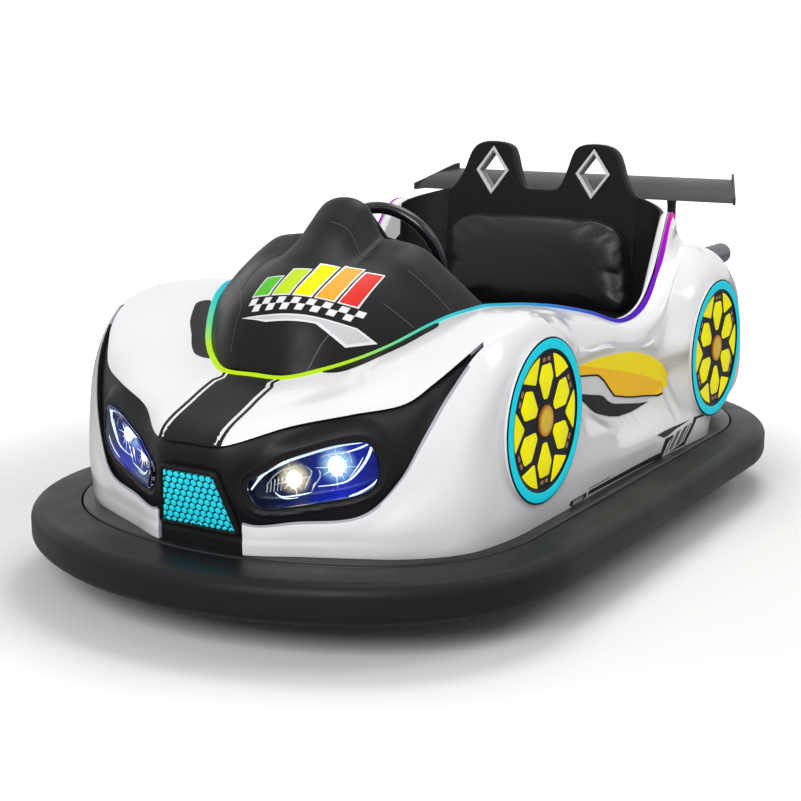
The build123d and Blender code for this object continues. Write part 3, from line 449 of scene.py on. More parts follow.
# Colour, share of it in darker patches, roughness range, grain scale, grain height, and what else differs.
FINISHES = {
    # Grey-lilac of the shell's cut edges and of its band along the mask's lower edge: a painted shade.
    "shell edge painted shade": ((0.42, 0.41, 0.47), 0.92, (0.3, 0.42), 400, 0.01, {}),
    "black moulding": ((0.0075, 0.0075, 0.008), 0.75, (0.42, 0.54), 1200, 0.05,
                       dict(wear=0.3, edge=(0.04, 0.04, 0.042), level=0.15)),
    "deck moulding": ((0.013, 0.0135, 0.015), 0.85, (0.28, 0.4), 900, 0.03,
                      dict(wear=0.3, edge=(0.06, 0.06, 0.065), level=0.25)),
    "black vinyl": ((0.0075, 0.008, 0.009), 0.8, (0.3, 0.42), 420, 0.12, dict(sheen=0.03, level=0.35)),
    "grey moulding": ((0.045, 0.045, 0.05), 0.85, (0.38, 0.5), 900, 0.05, {}),
    "powder-coated steel": ((0.014, 0.014, 0.016), 0.7, (0.45, 0.62), 300, 0.12,
                            dict(metallic=0.2, wear=0.7, edge=(0.22, 0.2, 0.19), level=0.3)),
    # The cyan ring, the yellow cells and the yellow and orange panels are also given a painted glow where
    # they are used.
    "cyan ring": ((0.0, 0.70, 0.86), 0.95, (0.3, 0.4), 500, 0.01, dict(level=0.1)),
    "navy disc": ((0.002, 0.004, 0.010), 0.8, (0.35, 0.45), 700, 0.02, dict(level=0.1)),
    "yellow cells": ((1.0, 0.92, 0.0), 0.98, (0.35, 0.45), 500, 0.01, dict(level=0.08)),
    "orange cap edge": ((0.42, 0.13, 0.01), 0.9, (0.3, 0.4), 500, 0.01, dict(level=0.2)),
    "orange cap": ((0.88, 0.40, 0.01), 0.9, (0.3, 0.4), 500, 0.01, dict(level=0.2)),
    "gold cap": ((1.0, 0.68, 0.02), 0.85, (0.25, 0.35), 300, 0.01, dict(level=0.3)),
    "tan dashes": ((0.50, 0.21, 0.10), 0.85, (0.3, 0.4), 500, 0.01, dict(level=0.2)),
    "yellow panel": ((1.0, 0.78, 0.0), 0.97, (0.3, 0.4), 500, 0.01, dict(level=0.12)),
    "orange panel": ((1.0, 0.56, 0.008), 0.95, (0.3, 0.4), 500, 0.01, dict(level=0.12)),
    "grey stripes": ((0.16, 0.16, 0.17), 0.9, (0.3, 0.4), 500, 0.01, dict(level=0.2)),
    "pale stripes": ((0.62, 0.62, 0.64), 0.95, (0.3, 0.4), 500, 0.01, dict(level=0.3)),
    "dark lining": ((0.015, 0.015, 0.016), 0.75, (0.5, 0.7), 350, 0.25, dict(level=0.2)),
    "silver paint": ((0.80, 0.81, 0.83), 0.95, (0.24, 0.36), 500, 0.01, {}),
    # Dark grey of the diamonds' inner walls, a painted shade in the openings.
    "inner wall painted shade": ((0.25, 0.25, 0.26), 0.85, (0.3, 0.45), 500, 0.01, {}),
    "glossy grip": ((0.007, 0.007, 0.010), 0.85, (0.14, 0.24), 500, 0.02, dict(coat=0.25, level=0.3)),
    "wing grey": ((0.027, 0.027, 0.029), 0.85, (0.36, 0.48), 800, 0.03,
                  dict(wear=0.2, edge=(0.10, 0.10, 0.10), level=0.25)),
    "pipe grey": ((0.13, 0.13, 0.165), 0.85, (0.28, 0.4), 500, 0.02, dict(metallic=0.4, level=0.3)),
    "floor plate": ((0.03, 0.03, 0.033), 0.7, (0.5, 0.65), 120, 0.4, dict(wear=0.4)),
    "motor paint": ((0.05, 0.055, 0.06), 0.8, (0.4, 0.55), 400, 0.05, dict(metallic=0.3)),
    "tyre rubber": ((0.014, 0.014, 0.014), 0.75, (0.7, 0.85), 300, 0.2, {}),
    "hub alloy": ((0.45, 0.45, 0.46), 0.8, (0.3, 0.45), 400, 0.05, dict(metallic=1.0)),
    "dark teal plate": ((0.001, 0.018, 0.022), 0.8, (0.35, 0.45), 500, 0.02, dict(level=0.2)),
    # Pale grey of the cowl's seams, a painted highlight along them.
    "seam painted highlight": ((0.075, 0.075, 0.085), 0.8, (0.4, 0.5), 500, 0.02, dict(level=0.2)),
    "green print": ((0.10, 0.55, 0.03), 0.95, (0.3, 0.4), 500, 0.01, dict(level=0.15)),
    "lime print": ((0.55, 0.78, 0.02), 0.95, (0.3, 0.4), 500, 0.01, dict(level=0.15)),
    "red print": ((0.75, 0.03, 0.02), 0.95, (0.3, 0.4), 500, 0.01, dict(level=0.15)),
    "bright trim": ((0.75, 0.76, 0.78), 0.9, (0.1, 0.2), 300, 0.003, dict(metallic=1.0)),
}


def finish(name):
    color, shade, rough, scale, bump, more = FINISHES[name]
    return moulded(name, color, shade, rough, scale, bump, **more)


def gel_coat():
    return moulded("white gel coat", settings().body_color, 0.97, (0.16, 0.24), 400, 0.003, coat=0.4,
                   coat_rough=0.06)


def satin_black():
    return moulded("satin black paint", settings().satin_color, 0.8, (0.38, 0.5), 700, 0.015, level=0.16)


def rubber():
    return moulded("bumper rubber", settings().rubber_color, 0.82, (0.38, 0.5), 600, 0.05, wear=0.35,
                   edge=(0.05, 0.05, 0.052), level=0.16)


def settings():
    return bpy.context.scene.bumper_car


# ---------------------------------------------------------------- the body surface
# Eye-shaped scoop on each side, as (y, z) places, and its upper lid, in metres.
SCOOP = [(-0.215, 0.395), (-0.205, 0.435), (-0.147, 0.441), (-0.048, 0.442), (0.058, 0.435), (0.115, 0.428),
         (0.170, 0.418), (0.220, 0.405), (0.262, 0.390), (0.300, 0.373), (0.332, 0.355), (0.355, 0.336),
         (0.356, 0.314), (0.342, 0.298), (0.310, 0.289), (0.270, 0.285), (0.227, 0.282), (0.180, 0.278),
         (0.120, 0.276), (0.060, 0.280), (0.010, 0.289), (-0.060, 0.311), (-0.105, 0.335), (-0.150, 0.352),
         (-0.190, 0.370)]
SCOOP_LID, SCOOP_LIP = SCOOP[1:10], SCOOP[14:]
# The rear fender's front face: its height, where it leaves the door and where it meets the fender's side.
FENDER_FACE = [(0.168, 0.150, 0.290), (0.300, 0.215, 0.300), (0.373, 0.255, 0.315), (0.428, 0.284, 0.335),
               (0.467, 0.300, 0.352), (0.531, 0.306, 0.383), (0.569, 0.321, 0.420), (0.606, 0.354, 0.450)]
SCOOP_FLOOR = 0.438
FRONT_DISC, REAR_DISC = (-0.397, 0.375), (0.485, 0.379)
# Rear edge of the front fender, as (y, z) places, and the fender's far corners.
FRONT_FOLD = [(-0.352, 0.570), (-0.345, 0.560), (-0.308, 0.529), (-0.262, 0.500), (-0.236, 0.472),
              (-0.222, 0.430), (-0.218, 0.380), (-0.226, 0.330), (-0.245, 0.290)]
FRONT_CORNERS = [(-0.600, 0.200), (-0.600, 0.700)]


def body_grid(station_cuts=STATION_CUTS, column_cuts=COLUMN_CUTS):
    """Dense points, normals and cage places of the left half of the body."""
    cage = np.array(CAGE, float) * MM
    rows = np.stack([refine(row, column_cuts, FOLDS.get(k, ())) for k, row in enumerate(cage)])
    extended = np.concatenate([rows[1:2] * MIRROR, rows, rows[-2:-1] * MIRROR])
    dense = refine(extended, [1] + station_cuts + [1])[1:-1]
    station = np.concatenate([[k + t / n for t in range(n)] for k, n in enumerate(station_cuts)] + [[TAIL]])
    column = np.concatenate([[k + t / n for t in range(n)] for k, n in enumerate(column_cuts)] + [[RIM]])
    dense = shaped(dense, station, column)
    normals = grid_normals(dense)
    normals[0, :, 0] = normals[-1, :, 0] = 0
    return dense, normals / np.linalg.norm(normals, axis=-1, keepdims=True), station, column


def fold(line, corners, y, z, drop, reach):
    """Step along a line of (y, z) places: the fender stands proud and the door falls away from it."""
    distance, share = line_near(line, y, z)
    fender = ease((outline_depth(line + corners, y, z) + 0.003) / 0.006)
    fade = ease(share / 0.2) * ease((1 - share) / 0.2) * np.exp(-distance / reach)
    return fade * drop * (fender * 0.25 - (1 - fender) * 0.75)


def shaped(dense, station, column):
    """Adds the scoop with its lid and lip, the fenders' folds and the foot's lip to the plain surface."""
    height, leaves, meets = np.array(FENDER_FACE).T
    dense = dense.copy()
    x, y, z = dense[..., 0], dense[..., 1], dense[..., 2]
    first = np.interp(z, height, leaves)
    share = np.clip((y - first) / (np.interp(z, height, meets) - first), 0, 1)
    share = 0.4 * share + 0.6 * ease(share)
    door, fender = x[np.argmin(np.abs(station - 13))], x[np.argmin(np.abs(station - 16))]
    weight = ((ease((station - 13) / 0.5) * ease((16 - station) / 0.3))[:, None]
              * ease((LID + 0.8 - column) / 0.6) * ease((z - 0.300) / 0.080))
    x += (door + (fender - door) * share - x) * weight
    scoop = smooth_loop(np.array(SCOOP), 3)
    inside = outline_depth(scoop, y, z)
    flank = ((station > 9.5) & (station < 15.9))[:, None] & (column < LID - 0.1)
    margin = (0.014 + 0.012 * ease((0.345 - z) / 0.08)
              + 0.036 * ease((y - 0.24) / 0.14) * ease((0.43 - z) / 0.08))
    x += np.where(flank, (SCOOP_FLOOR - x) * ease(1 + inside / margin), 0)
    soften = (ease((station - 9.8) / 0.6) * ease((16.2 - station) / 0.6))[:, None]
    soften = soften * ease((LID + 1 - column) / 0.8) * np.where(inside > 0.004, 0, ease((z - 0.228) / 0.02))
    soften = 0.8 * soften[1:-1, 1:-1, None]
    for _ in range(18):
        middle = (dense[2:, 1:-1] + dense[:-2, 1:-1] + dense[1:-1, 2:] + dense[1:-1, :-2]) / 4
        dense[1:-1, 1:-1] += (middle - dense[1:-1, 1:-1]) * soften
    inside = outline_depth(scoop, y, z)
    normals = grid_normals(dense)
    push = np.zeros(y.shape)
    above, _ = line_near(SCOOP_LID, y, z)
    below, along = line_near(SCOOP_LIP, y, z)
    fade = ease((y + 0.22) / 0.1) * ease((0.30 - y) / 0.14) * ease(-inside / 0.008)
    push += np.where(flank, 0.006 * fade * np.exp(-((above - 0.020) / 0.014) ** 2), 0)
    fade = ease(along / 0.2) * ease((1 - along) / 0.2) * ease(-inside / 0.02)
    push += np.where(flank, 0.0015 * fade * np.exp(-((below - 0.030) / 0.014) ** 2), 0)
    side = (column < CROWN - 0.3) & ((station > 8) & (station < 17))[:, None]
    push += np.where(side, fold(FRONT_FOLD, FRONT_CORNERS, y, z, 0.012, 0.045), 0)
    pillar = np.exp(-((station - 16) / 0.4) ** 2)[:, None] * np.exp(-((column - 5.7) / 0.2) ** 2)
    push += 0.013 * pillar
    push += 0.0022 * ease((0.198 - z) / 0.010)
    return dense + normals * push[..., None]


SURFACE, NORMALS, STATION, COLUMN = body_grid()


def station_row(value):
    return int(np.argmin(np.abs(STATION - value)))


def column_row(value):
    return int(np.argmin(np.abs(COLUMN - value)))


def whole_loop(grid):
    """Rows of a half grid continued across the middle, a closed loop round the body."""
    return np.concatenate([grid, grid[1:-1][::-1] * MIRROR])


def both_halves(grid):
    """Rows of a half grid from the right side to the left side, across the nose."""
    return np.concatenate([grid[1:][::-1] * MIRROR, grid])


def body_tree():
    """Search tree of the body's outer face, for laying trim on it."""
    loop = whole_loop(SURFACE)
    faces = grid_faces(len(loop), loop.shape[1], closed=True)
    return BVHTree.FromPolygons([tuple(p) for p in loop.reshape(-1, 3)], faces)


TREE = body_tree()


def laid(places, lift, side=0, tree=None):
    """Points on the body for places seen from above (x, y), or from a side (y, z), with a lift off it."""
    points = []
    for a, b in places:
        if side:
            start, direction = Vector((side * 1.0, a, b)), Vector((-side, 0, 0))
        else:
            start, direction = Vector((a, b, 2.0)), Vector((0, 0, -1))
        hit, normal, _, _ = (tree or TREE).ray_cast(start, direction)
        if hit is None:
            raise ValueError(f"nothing under {a}, {b}")
        if normal.dot(direction) > 0:
            normal = -normal
        points.append(tuple(hit + normal * lift))
    return points


def flat_patch(outline, step):
    """Fine triangles over a flat outline: places and faces."""
    work = bmesh.new()
    ring = [work.verts.new((a, b, 0)) for a, b in outline]
    for k, vert in enumerate(ring):
        work.edges.new((vert, ring[(k + 1) % len(ring)]))
    bmesh.ops.triangle_fill(work, use_beauty=True, edges=work.edges[:])
    for _ in range(6):
        long_edges = [e for e in work.edges if e.calc_length() > step]
        if not long_edges:
            break
        bmesh.ops.subdivide_edges(work, edges=long_edges, cuts=1)
        bmesh.ops.triangulate(work, faces=work.faces[:])
    bmesh.ops.recalc_face_normals(work, faces=work.faces[:])
    places = [(v.co.x, v.co.y) for v in work.verts]
    faces = [tuple(v.index for v in f.verts) for f in work.faces]
    if work.faces and sum(f.normal.z for f in work.faces) < 0:
        faces = [f[::-1] for f in faces]
    work.free()
    return places, faces


def ribbon(line, width, step=0.008):
    """Band along an open line of flat places: places and quads."""
    line = np.asarray(line, float)
    fine = [line[0]]
    for a, b in zip(line, line[1:]):
        count = max(1, int(np.linalg.norm(b - a) / step))
        fine += [a + (b - a) * k / count for k in range(1, count + 1)]
    fine = np.array(fine)
    run = np.gradient(fine, axis=0)
    run /= np.linalg.norm(run, axis=1, keepdims=True)
    across = np.stack([-run[:, 1], run[:, 0]], axis=1) * width / 2
    places = np.stack([fine - across, fine + across], axis=1).reshape(-1, 2)
    faces = [(2 * k, 2 * k + 2, 2 * k + 3, 2 * k + 1) for k in range(len(fine) - 1)]
    return places, faces


# ---------------------------------------------------------------- shared outlines in plan
def arc(x, y, radius, start, end, count):
    """Places on an arc from one angle to another, without its end; angle 0 looks to the nose, a quarter
    turn to the side."""
    angles = [start + (end - start) * k / count for k in range(count)]
    return [(x + radius * math.sin(a), y - radius * math.cos(a)) for a in angles]


def ring_outline(half_width, front, rear, arcs, inset=0.0):
    """Closed plan outline of two bowed ends, four round corners and two straight sides, as (x, y) places.
    arcs are the plan radii of the nose, its corners, the tail and its corners, in half widths."""
    nose, nose_corner, tail, tail_corner = (share * half_width for share in arcs)
    front_centre, rear_centre = front + nose, rear - tail
    corner_x, tail_x = half_width - nose_corner, half_width - tail_corner
    corner_y = front_centre - math.sqrt((nose - nose_corner) ** 2 - corner_x ** 2)
    tail_y = rear_centre + math.sqrt((tail - tail_corner) ** 2 - tail_x ** 2)
    nose_end = math.atan2(corner_x, front_centre - corner_y)
    tail_start = math.pi - math.atan2(tail_x, tail_y - rear_centre)
    side = math.pi / 2
    half = arc(0, front_centre, nose - inset, 0, nose_end, 28)
    half += arc(corner_x, corner_y, nose_corner - inset, nose_end, side, 30)
    half += [(half_width - inset, corner_y + (tail_y - corner_y) * k / 20) for k in range(20)]
    half += arc(tail_x, tail_y, tail_corner - inset, side, tail_start, 26)
    half += arc(0, rear_centre, tail - inset, tail_start, math.pi, 26) + [(0.0, rear - inset)]
    return np.array(half + [(-x, y) for x, y in half[-2:0:-1]])


RING_LOW, RING_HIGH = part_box("bumper_ring")
DECK_LOW, DECK_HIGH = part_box("deck_ring")
RING_ARCS = (1.2, 0.75, 2.7167, 0.7833)
DECK_ARCS = (1.3636, 0.7213, 3.1126, 0.7806)


def bumper_outline(inset):
    return ring_outline(RING_HIGH.x, RING_LOW.y, RING_HIGH.y - 0.0002, RING_ARCS, inset)


def deck_outline(inset):
    return ring_outline(DECK_HIGH.x, -0.873, 0.935, DECK_ARCS, inset)


def loft_rings(name, rings, material, nodes, slot):
    """Closed tube of matched plan outlines, each an (outline, height) pair."""
    points = [(x, y, z) for outline, z in rings for x, y in outline]
    faces = tube_faces(len(rings), len(rings[0][0]), closed=True)
    return mesh_piece(name, points, faces, material, nodes=nodes, slot=slot, sharp=35)


class BUMPER_CAR_OT_bumper(bpy.types.Operator):
    """Rubber bumper round the car and the moulded deck inside it"""
    bl_idname = "bumper_car.bumper"
    bl_label = "Bumper and deck"

    def execute(self, context):
        low, high, edge = RING_LOW.z, RING_HIGH.z, 0.026
        bend = [math.pi / 2 * k / 8 for k in range(9)]
        rings = [(bumper_outline(edge * (1 - math.sin(a))), low + edge * (1 - math.cos(a))) for a in bend]
        rings += [(bumper_outline(0), low + edge + (high - low - 2 * edge) * k / 4) for k in (1, 2, 3)]
        rings += [(bumper_outline(edge * (1 - math.cos(a))), high - edge * (1 - math.sin(a))) for a in bend]
        outer, inner = bumper_outline(edge), deck_outline(-0.006)
        rings += [(outer + (inner - outer) * t, high + 0.0012 * math.sin(math.pi * t))
                  for t in (0.25, 0.5, 0.75, 1.0)]
        rings += [(deck_outline(-gap), z) for gap, z in (
            (0.0028, high - 0.0009), (0.0014, high - 0.003), (0.0006, high - 0.007), (0.0006, low + 0.004),
            (0.004, low))]
        loft_rings("bumper_rubber", rings, rubber(), ["bumper_ring"], "bumper_rubber")
        foot, top = DECK_LOW.z, DECK_HIGH.z
        sections = [(0.005, foot), (0.0012, foot), (0.0012, top - 0.006)]
        for k in range(1, 6):
            a = math.pi / 2 * k / 5
            sections.append((0.0012 + 0.005 * (1 - math.cos(a)), top - 0.006 + 0.005 * math.sin(a)))
        sections += [(0.012, top - 0.0006), (0.02, top - 0.0003), (0.05, top), (0.08, top),
                     (0.08, top - 0.005), (0.006, top - 0.008)]
        rings = [(deck_outline(inset), z) for inset, z in sections]
        loft_rings("deck_trim", rings, finish("deck moulding"), ["deck_ring"], "black_moulding")
        return {"FINISHED"}


# ---------------------------------------------------------------- body shell
def skin_faces(keep, station=None, column=None):
    """Quads of the whole body loop, or of a finer one, whose (station, column) middle passes keep."""
    station = STATION if station is None else station
    column = COLUMN if column is None else column
    count, columns = len(station), len(column)
    total = 2 * count - 2
    faces = []
    for i in range(total):
        n = (i + 1) % total
        near = min(i if i < count else total - i, n if n < count else total - n)
        middle = (station[near] + station[min(near + 1, count - 1)]) / 2
        for j in range(columns - 1):
            if keep(middle, (column[j] + column[j + 1]) / 2):
                faces.append((i * columns + j, n * columns + j, n * columns + j + 1, i * columns + j + 1))
    return faces


def used_only(points, faces):
    """Points that faces use, and the faces renumbered."""
    used = sorted({k for face in faces for k in face})
    number = {k: n for n, k in enumerate(used)}
    return [points[k] for k in used], [tuple(number[k] for k in face) for face in faces]


def outside_mask(station, column):
    if station < MASK_START:
        return column > LID
    return not (station < HOOD_END and BROW < column < LID)


# Band of the shell along the mask's lower edge, coloured grey-lilac as a painted shade.
def mask_band_painted_shade(station, column):
    return 1.0 < station < 6.6 and BROW - (0.14 if station > 3.4 else 0.26) < column < BROW


class BUMPER_CAR_OT_body(bpy.types.Operator):
    """White moulded body: hood, fenders, flanks and tail"""
    bl_idname = "bumper_car.body"
    bl_label = "Body shell"

    def execute(self, context):
        loop = whole_loop(SURFACE).reshape(-1, 3)
        # The band along the mask's lower edge and the shell's cut edges take the grey-lilac, a painted shade.
        lip = skin_faces(mask_band_painted_shade)
        plain = skin_faces(lambda station, column: outside_mask(station, column)
                           and not mask_band_painted_shade(station, column))
        points, faces = used_only(loop, plain + lip)
        materials = [gel_coat(), finish("shell edge painted shade"), satin_black()]
        piece = mesh_piece("body_shell", points, faces, materials, slot="white_shell",
                           numbers=[0] * len(plain) + [1] * len(lip),
                           nodes=["hood_shell", "nose_panel_left", "nose_panel_right", "flank_left",
                                  "flank_right", "tail_shell"])
        thicken(piece, 0.0078, rim=1)
        rounded(piece, 0.0014, 2, 60)
        for face in piece.data.polygons:
            x, y, z = face.center
            hood_edge = face.material_index == 1 and face.normal.z < -0.1 and y < -0.45
            if hood_edge or (abs(x) < 0.066 and y < -0.872 and z > 0.33):
                face.material_index = 2
        return {"FINISHED"}


# ---------------------------------------------------------------- nose
# Outline of a headlight in its own plane, as (distance along it, height) places in millimetres.
LENS_OUTLINE = [(14, 260), (-1, 282), (-3, 304), (17, 318), (42, 334), (60, 346), (85, 355), (110, 363),
                (135, 371), (160, 378), (185, 383), (208, 385), (222, 378), (232, 358), (236, 340),
                (236, 323), (231, 308), (220, 296), (200, 286), (180, 280), (145, 273), (97, 264), (47, 257)]
# The plane's ends in plan, in metres.
LENS_CORNER, LENS_END = np.array([0.112, -0.849]), np.array([0.321, -0.743])


def lens_frame():
    """Origin, direction along the lens and outward normal of the left headlight."""
    run = (LENS_END - LENS_CORNER) / np.linalg.norm(LENS_END - LENS_CORNER)
    return (np.array([*LENS_CORNER, 0.0]), np.array([*run, 0.0]), np.array([run[1], -run[0], 0.0]))


def lens_place(u, z, out=0.0):
    """Point of the left headlight: distance along it, height, distance out of its plane, in metres."""
    origin, run, normal = lens_frame()
    return origin + run * u + normal * out + np.array([0, 0, z])


def lens_curve(cuts=6, shrink=0.0):
    """Smooth closed outline of the lens, (u, z) in metres, shrunk by a margin."""
    curve = np.array(smooth_loop(np.array(LENS_OUTLINE, float) * MM, cuts))
    if shrink:
        run = np.roll(curve, -1, axis=0) - np.roll(curve, 1, axis=0)
        run /= np.linalg.norm(run, axis=1, keepdims=True)
        area = np.sum(curve[:, 0] * np.roll(curve[:, 1], -1) - np.roll(curve[:, 0], -1) * curve[:, 1])
        inward = np.stack([-run[:, 1], run[:, 0]], axis=1) * (1 if area > 0 else -1)
        curve = curve + inward * shrink
    return curve


MASK_CUTS = [16] + [30] * 6 + [20] + [1] * 12


def mask_surface():
    """Points of the left half of the black nose mask with their stations and columns.  It runs on under the
    lips of the shell, and dips round the headlight with a ridge along the dip."""
    dense, normals, station, column = body_grid(MASK_CUTS, [8, 14, 8, 44, 18, 8])
    loop = dense - normals * 0.0088
    origin, run, normal = lens_frame()
    place = loop - origin
    u, z, out = place @ run, loop[..., 2], place @ normal
    inside = outline_depth(lens_curve(3), u, z)
    near = ease((inside + 0.040) / 0.034) * ease((7.6 - station) / 0.8)[:, None]
    loop = loop + normal * (near * (-0.0035 - out))[..., None]
    ridge = sum(height * np.exp(-((inside + away) / 0.004) ** 2)
                for height, away in ((0.0030, 0.013), (-0.0016, 0.005), (0.0016, 0.024)))
    loop = loop + normal * (ridge * near * (0.35 + 0.65 * ease((0.35 - z) / 0.06)))[..., None]
    return loop, station, column


class BUMPER_CAR_OT_nose(bpy.types.Operator):
    """Black nose mask with its openings, and the grille"""
    bl_idname = "bumper_car.nose"
    bl_label = "Nose mask and grille"

    def execute(self, context):
        grid, stations, columns = mask_surface()

        def keep(station, column):
            if station < 1.12:
                return column < LID + 0.5
            return station < 7.2 and BROW - 0.5 < column < LID + 0.5

        points, faces = used_only(whole_loop(grid).reshape(-1, 3), skin_faces(keep, stations, columns))
        piece = mesh_piece("lamp_mask", points, faces, satin_black(), slot="satin_black",
                           nodes=["headlight_masks", "grille_frame"])
        thicken(piece, 0.003, even=False)
        cutters = []
        for side in (1, -1):
            block = [lens_place(a, b, out) * (side, 1, 1) for out in (0.06, -0.06) for a, b in lens_curve(6)]
            cutters.append(cutter(block, tube_faces(2, len(block) // 2, caps=True)))
        opening = [(0.0865, 0.2085), (0.058, 0.3195), (-0.058, 0.3195), (-0.0865, 0.2085)]
        cutters.append(cutter([(x, y, z) for y in (-0.95, -0.82) for x, z in opening],
                              tube_faces(2, 4, caps=True)))
        cut_away(piece, cutters)
        self.grille()
        return {"FINISHED"}

    def grille(self):
        """Hexagonal cells on a dark plate, in a raised frame with a turned-in lower edge."""
        low, high = np.array([0.0, -0.8535, 0.2065]), np.array([0.0, -0.8855, 0.3215])
        height = np.linalg.norm(high - low)
        rise = (high - low) / height
        normal = np.array([0.0, -rise[2], rise[1]])
        foot_half, head_half, gap = 0.0885, 0.0595, 0.003

        def place(u, v, out):
            return low + np.array([u, 0, 0]) + rise * v + normal * out

        corners = [(-foot_half, 0.0), (foot_half, 0.0), (head_half, height), (-head_half, height)]
        plate = [place(u, v, out) for out in (-0.004, -0.001) for u, v in corners]
        parts = [(plate, tube_faces(2, 4, caps=True), 1)]
        pitch, cell = 0.0148, 0.0060
        row_step = pitch * math.sqrt(3) / 2
        turns = [math.radians(-60 * n + t) for n in range(6) for t in (13, -13)]
        for row in range(math.ceil((height + cell) / row_step)):
            for k in range(-7, 8):
                u, v = (k + (row % 2) / 2) * pitch, row * row_step + 0.004
                shape = clipped([(u + cell * math.sin(a), v + cell * math.cos(a)) for a in turns],
                                foot_half - gap, head_half - gap, gap, height - gap)
                if len(shape) < 3:
                    continue
                middle = np.mean(shape, axis=0)
                inner = [middle + (np.array(p) - middle) * 0.8 for p in shape]
                loops = ((shape, -0.001), (shape, 0.0006), (inner, 0.0016))
                points = [place(a, b, out) for loop, out in loops for a, b in loop]
                n = len(shape)
                parts.append((points, tube_faces(3, n) + [tuple(range(2 * n, 3 * n))], 0))
        for k in range(-6, 7):
            tooth = [(k * 0.0128 + a, b) for a, b in ((-0.0036, -0.001), (0.0036, -0.001), (0.0022, 0.0062),
                                                      (-0.0022, 0.0062))]
            parts.append((*raised(tooth, -0.001, 0.0036, 0.0012, place), 1))
        # The cells glow in cyan, a painted glow.
        parts_piece("grille_cells", parts, [cyan_painted_glow(), finish("dark teal plate")], nodes=["grille_mesh"],
                    slot="cyan_mesh", sharp=25)
        profile = [(0.006, -0.004), (0.006, 0.002), (0.004, 0.0045), (-0.001, 0.005), (-0.0035, 0.003),
                   (-0.004, -0.004)]
        line = [place(a, b, 0.0) for a, b in rounded_corners(corners, 0.007, 5)]
        points, faces = sweep_points(line, profile, True, normal)
        mesh_piece("grille_surround", points, faces, finish("black moulding"), slot="black_moulding",
                   sharp=30)


def clipped(shape, foot_half, head_half, bottom, top):
    """Convex polygon cut to a trapezoid that is symmetric about the middle plane."""
    slope = (head_half - foot_half) / (top - bottom)
    edges = [(lambda p: p[1] - bottom), (lambda p: top - p[1]),
             (lambda p: foot_half + slope * (p[1] - bottom) - p[0]),
             (lambda p: foot_half + slope * (p[1] - bottom) + p[0])]
    for depth in edges:
        kept = []
        for a, b in zip(shape, shape[1:] + shape[:1]):
            da, db = depth(a), depth(b)
            if da >= 0:
                kept.append(a)
            if da * db < 0:
                t = da / (da - db)
                kept.append((a[0] + (b[0] - a[0]) * t, a[1] + (b[1] - a[1]) * t))
        shape = kept
        if len(shape) < 3:
            return []
    return shape


def rounded_corners(corners, radius, cuts):
    """Closed flat outline with its corners rounded."""
    path = []
    count = len(corners)
    for k in range(count):
        before, here, after = (np.array(corners[(k + n) % count], float) for n in (-1, 0, 1))
        one = (before - here) / np.linalg.norm(before - here)
        two = (after - here) / np.linalg.norm(after - here)
        start, end = here + one * radius, here + two * radius
        for t in np.linspace(0, 1, cuts + 1):
            path.append(tuple(start * (1 - t) ** 2 + here * 2 * t * (1 - t) + end * t * t))
    return path


def cutter(points, faces):
    """Closed block that cuts openings, with its faces turned outwards."""
    mesh = bpy.data.meshes.new("cutter")
    mesh.from_pydata([tuple(p) for p in points], [], faces)
    block = bpy.data.objects.new("cutter", mesh)
    bpy.context.scene.collection.objects.link(block)
    return recalculated(block)


def cut_away(piece, cutters):
    """Cuts blocks out of a piece and removes them."""
    for block in cutters:
        cut = piece.modifiers.new("opening", "BOOLEAN")
        cut.object = block
        cut.operation = "DIFFERENCE"
        cut.solver = "EXACT"
    apply_modifiers(piece)
    for block in cutters:
        bpy.data.objects.remove(block)
    return shaded(piece, 35)


def glowing(material, color, strength):
    """Makes a material glow in a colour."""
    feed(material.node_tree, material.node_tree.nodes[PRINCIPLED],
         {"Emission Color": color, "Emission Strength": strength})
    return material


def emission(name, color, strength, base=None, rough=0.3):
    """A glowing plastic: its own colour, which varies slightly over it, and an even glow. It makes the lamps,
    and also the painted glow of the grille's cells and of the headlights' glare rays.
    """
    return glowing(moulded(name, base or color, 0.9, (rough, rough + 0.1), 500, 0.01), (*color, 1), strength)


def painted_glow_finish(name, strength):
    """A finish that also glows a little in its own colour: a painted glow that makes it brighter than the
    lamps light it.
    """
    return glowing(finish(name), (*FINISHES[name][0], 1), strength)


# The grille's cyan cells glow: a painted glow on a part that is no lamp.
def cyan_painted_glow():
    return emission("cyan cells painted glow", (0.01, 0.58, 0.70), 0.42)


# ---------------------------------------------------------------- headlights
def lens_dome(curve, rings, rise):
    """Points and faces of a crowned cover over a closed curve, from its edge to its middle."""
    middle = curve.mean(axis=0)
    points = []
    for t in np.arange(rings) / rings:
        shape = curve + (middle - curve) * t
        points += [lens_place(a, b, rise * math.sqrt(1 - (1 - t) ** 2)) for a, b in shape]
    return points + [lens_place(*middle, rise)], dome_faces(rings, len(curve))


def both_sides(parts):
    """The same numbered parts and their mirrored copies across the middle plane."""
    mirrored = [([(-p[0], p[1], p[2]) for p in points], [tuple(f[::-1]) for f in faces], number)
                for points, faces, number in parts]
    return parts + mirrored


def glass():
    material = moulded("lamp glass", (0.9, 0.95, 1.0), 0.98, (0.02, 0.05), 300, 0.0, ior=1.12)
    material.node_tree.nodes[PRINCIPLED].inputs["Transmission Weight"].default_value = 1.0
    return material


# Headlight lamps: distance along the lens, height, radius, and the colour of the painted pool of their light
# on the bowl.
LAMP_SPOTS = [(0.0788, 0.3075, 0.0130, (1.0, 0.86, 0.50)), (0.1575, 0.3338, 0.0150, (0.42, 0.78, 1.0))]


def ramp_stops(ramp, stops):
    """Gives a colour ramp its stops, as (position, colour) pairs in order."""
    elements = ramp.color_ramp.elements
    while len(elements) < len(stops):
        elements.new(0.5)
    for element, (position, _) in zip(elements, stops):
        element.position = position
    for element, (_, color) in zip(elements, stops):
        element.color = (*color, 1)
    return ramp.outputs["Color"]


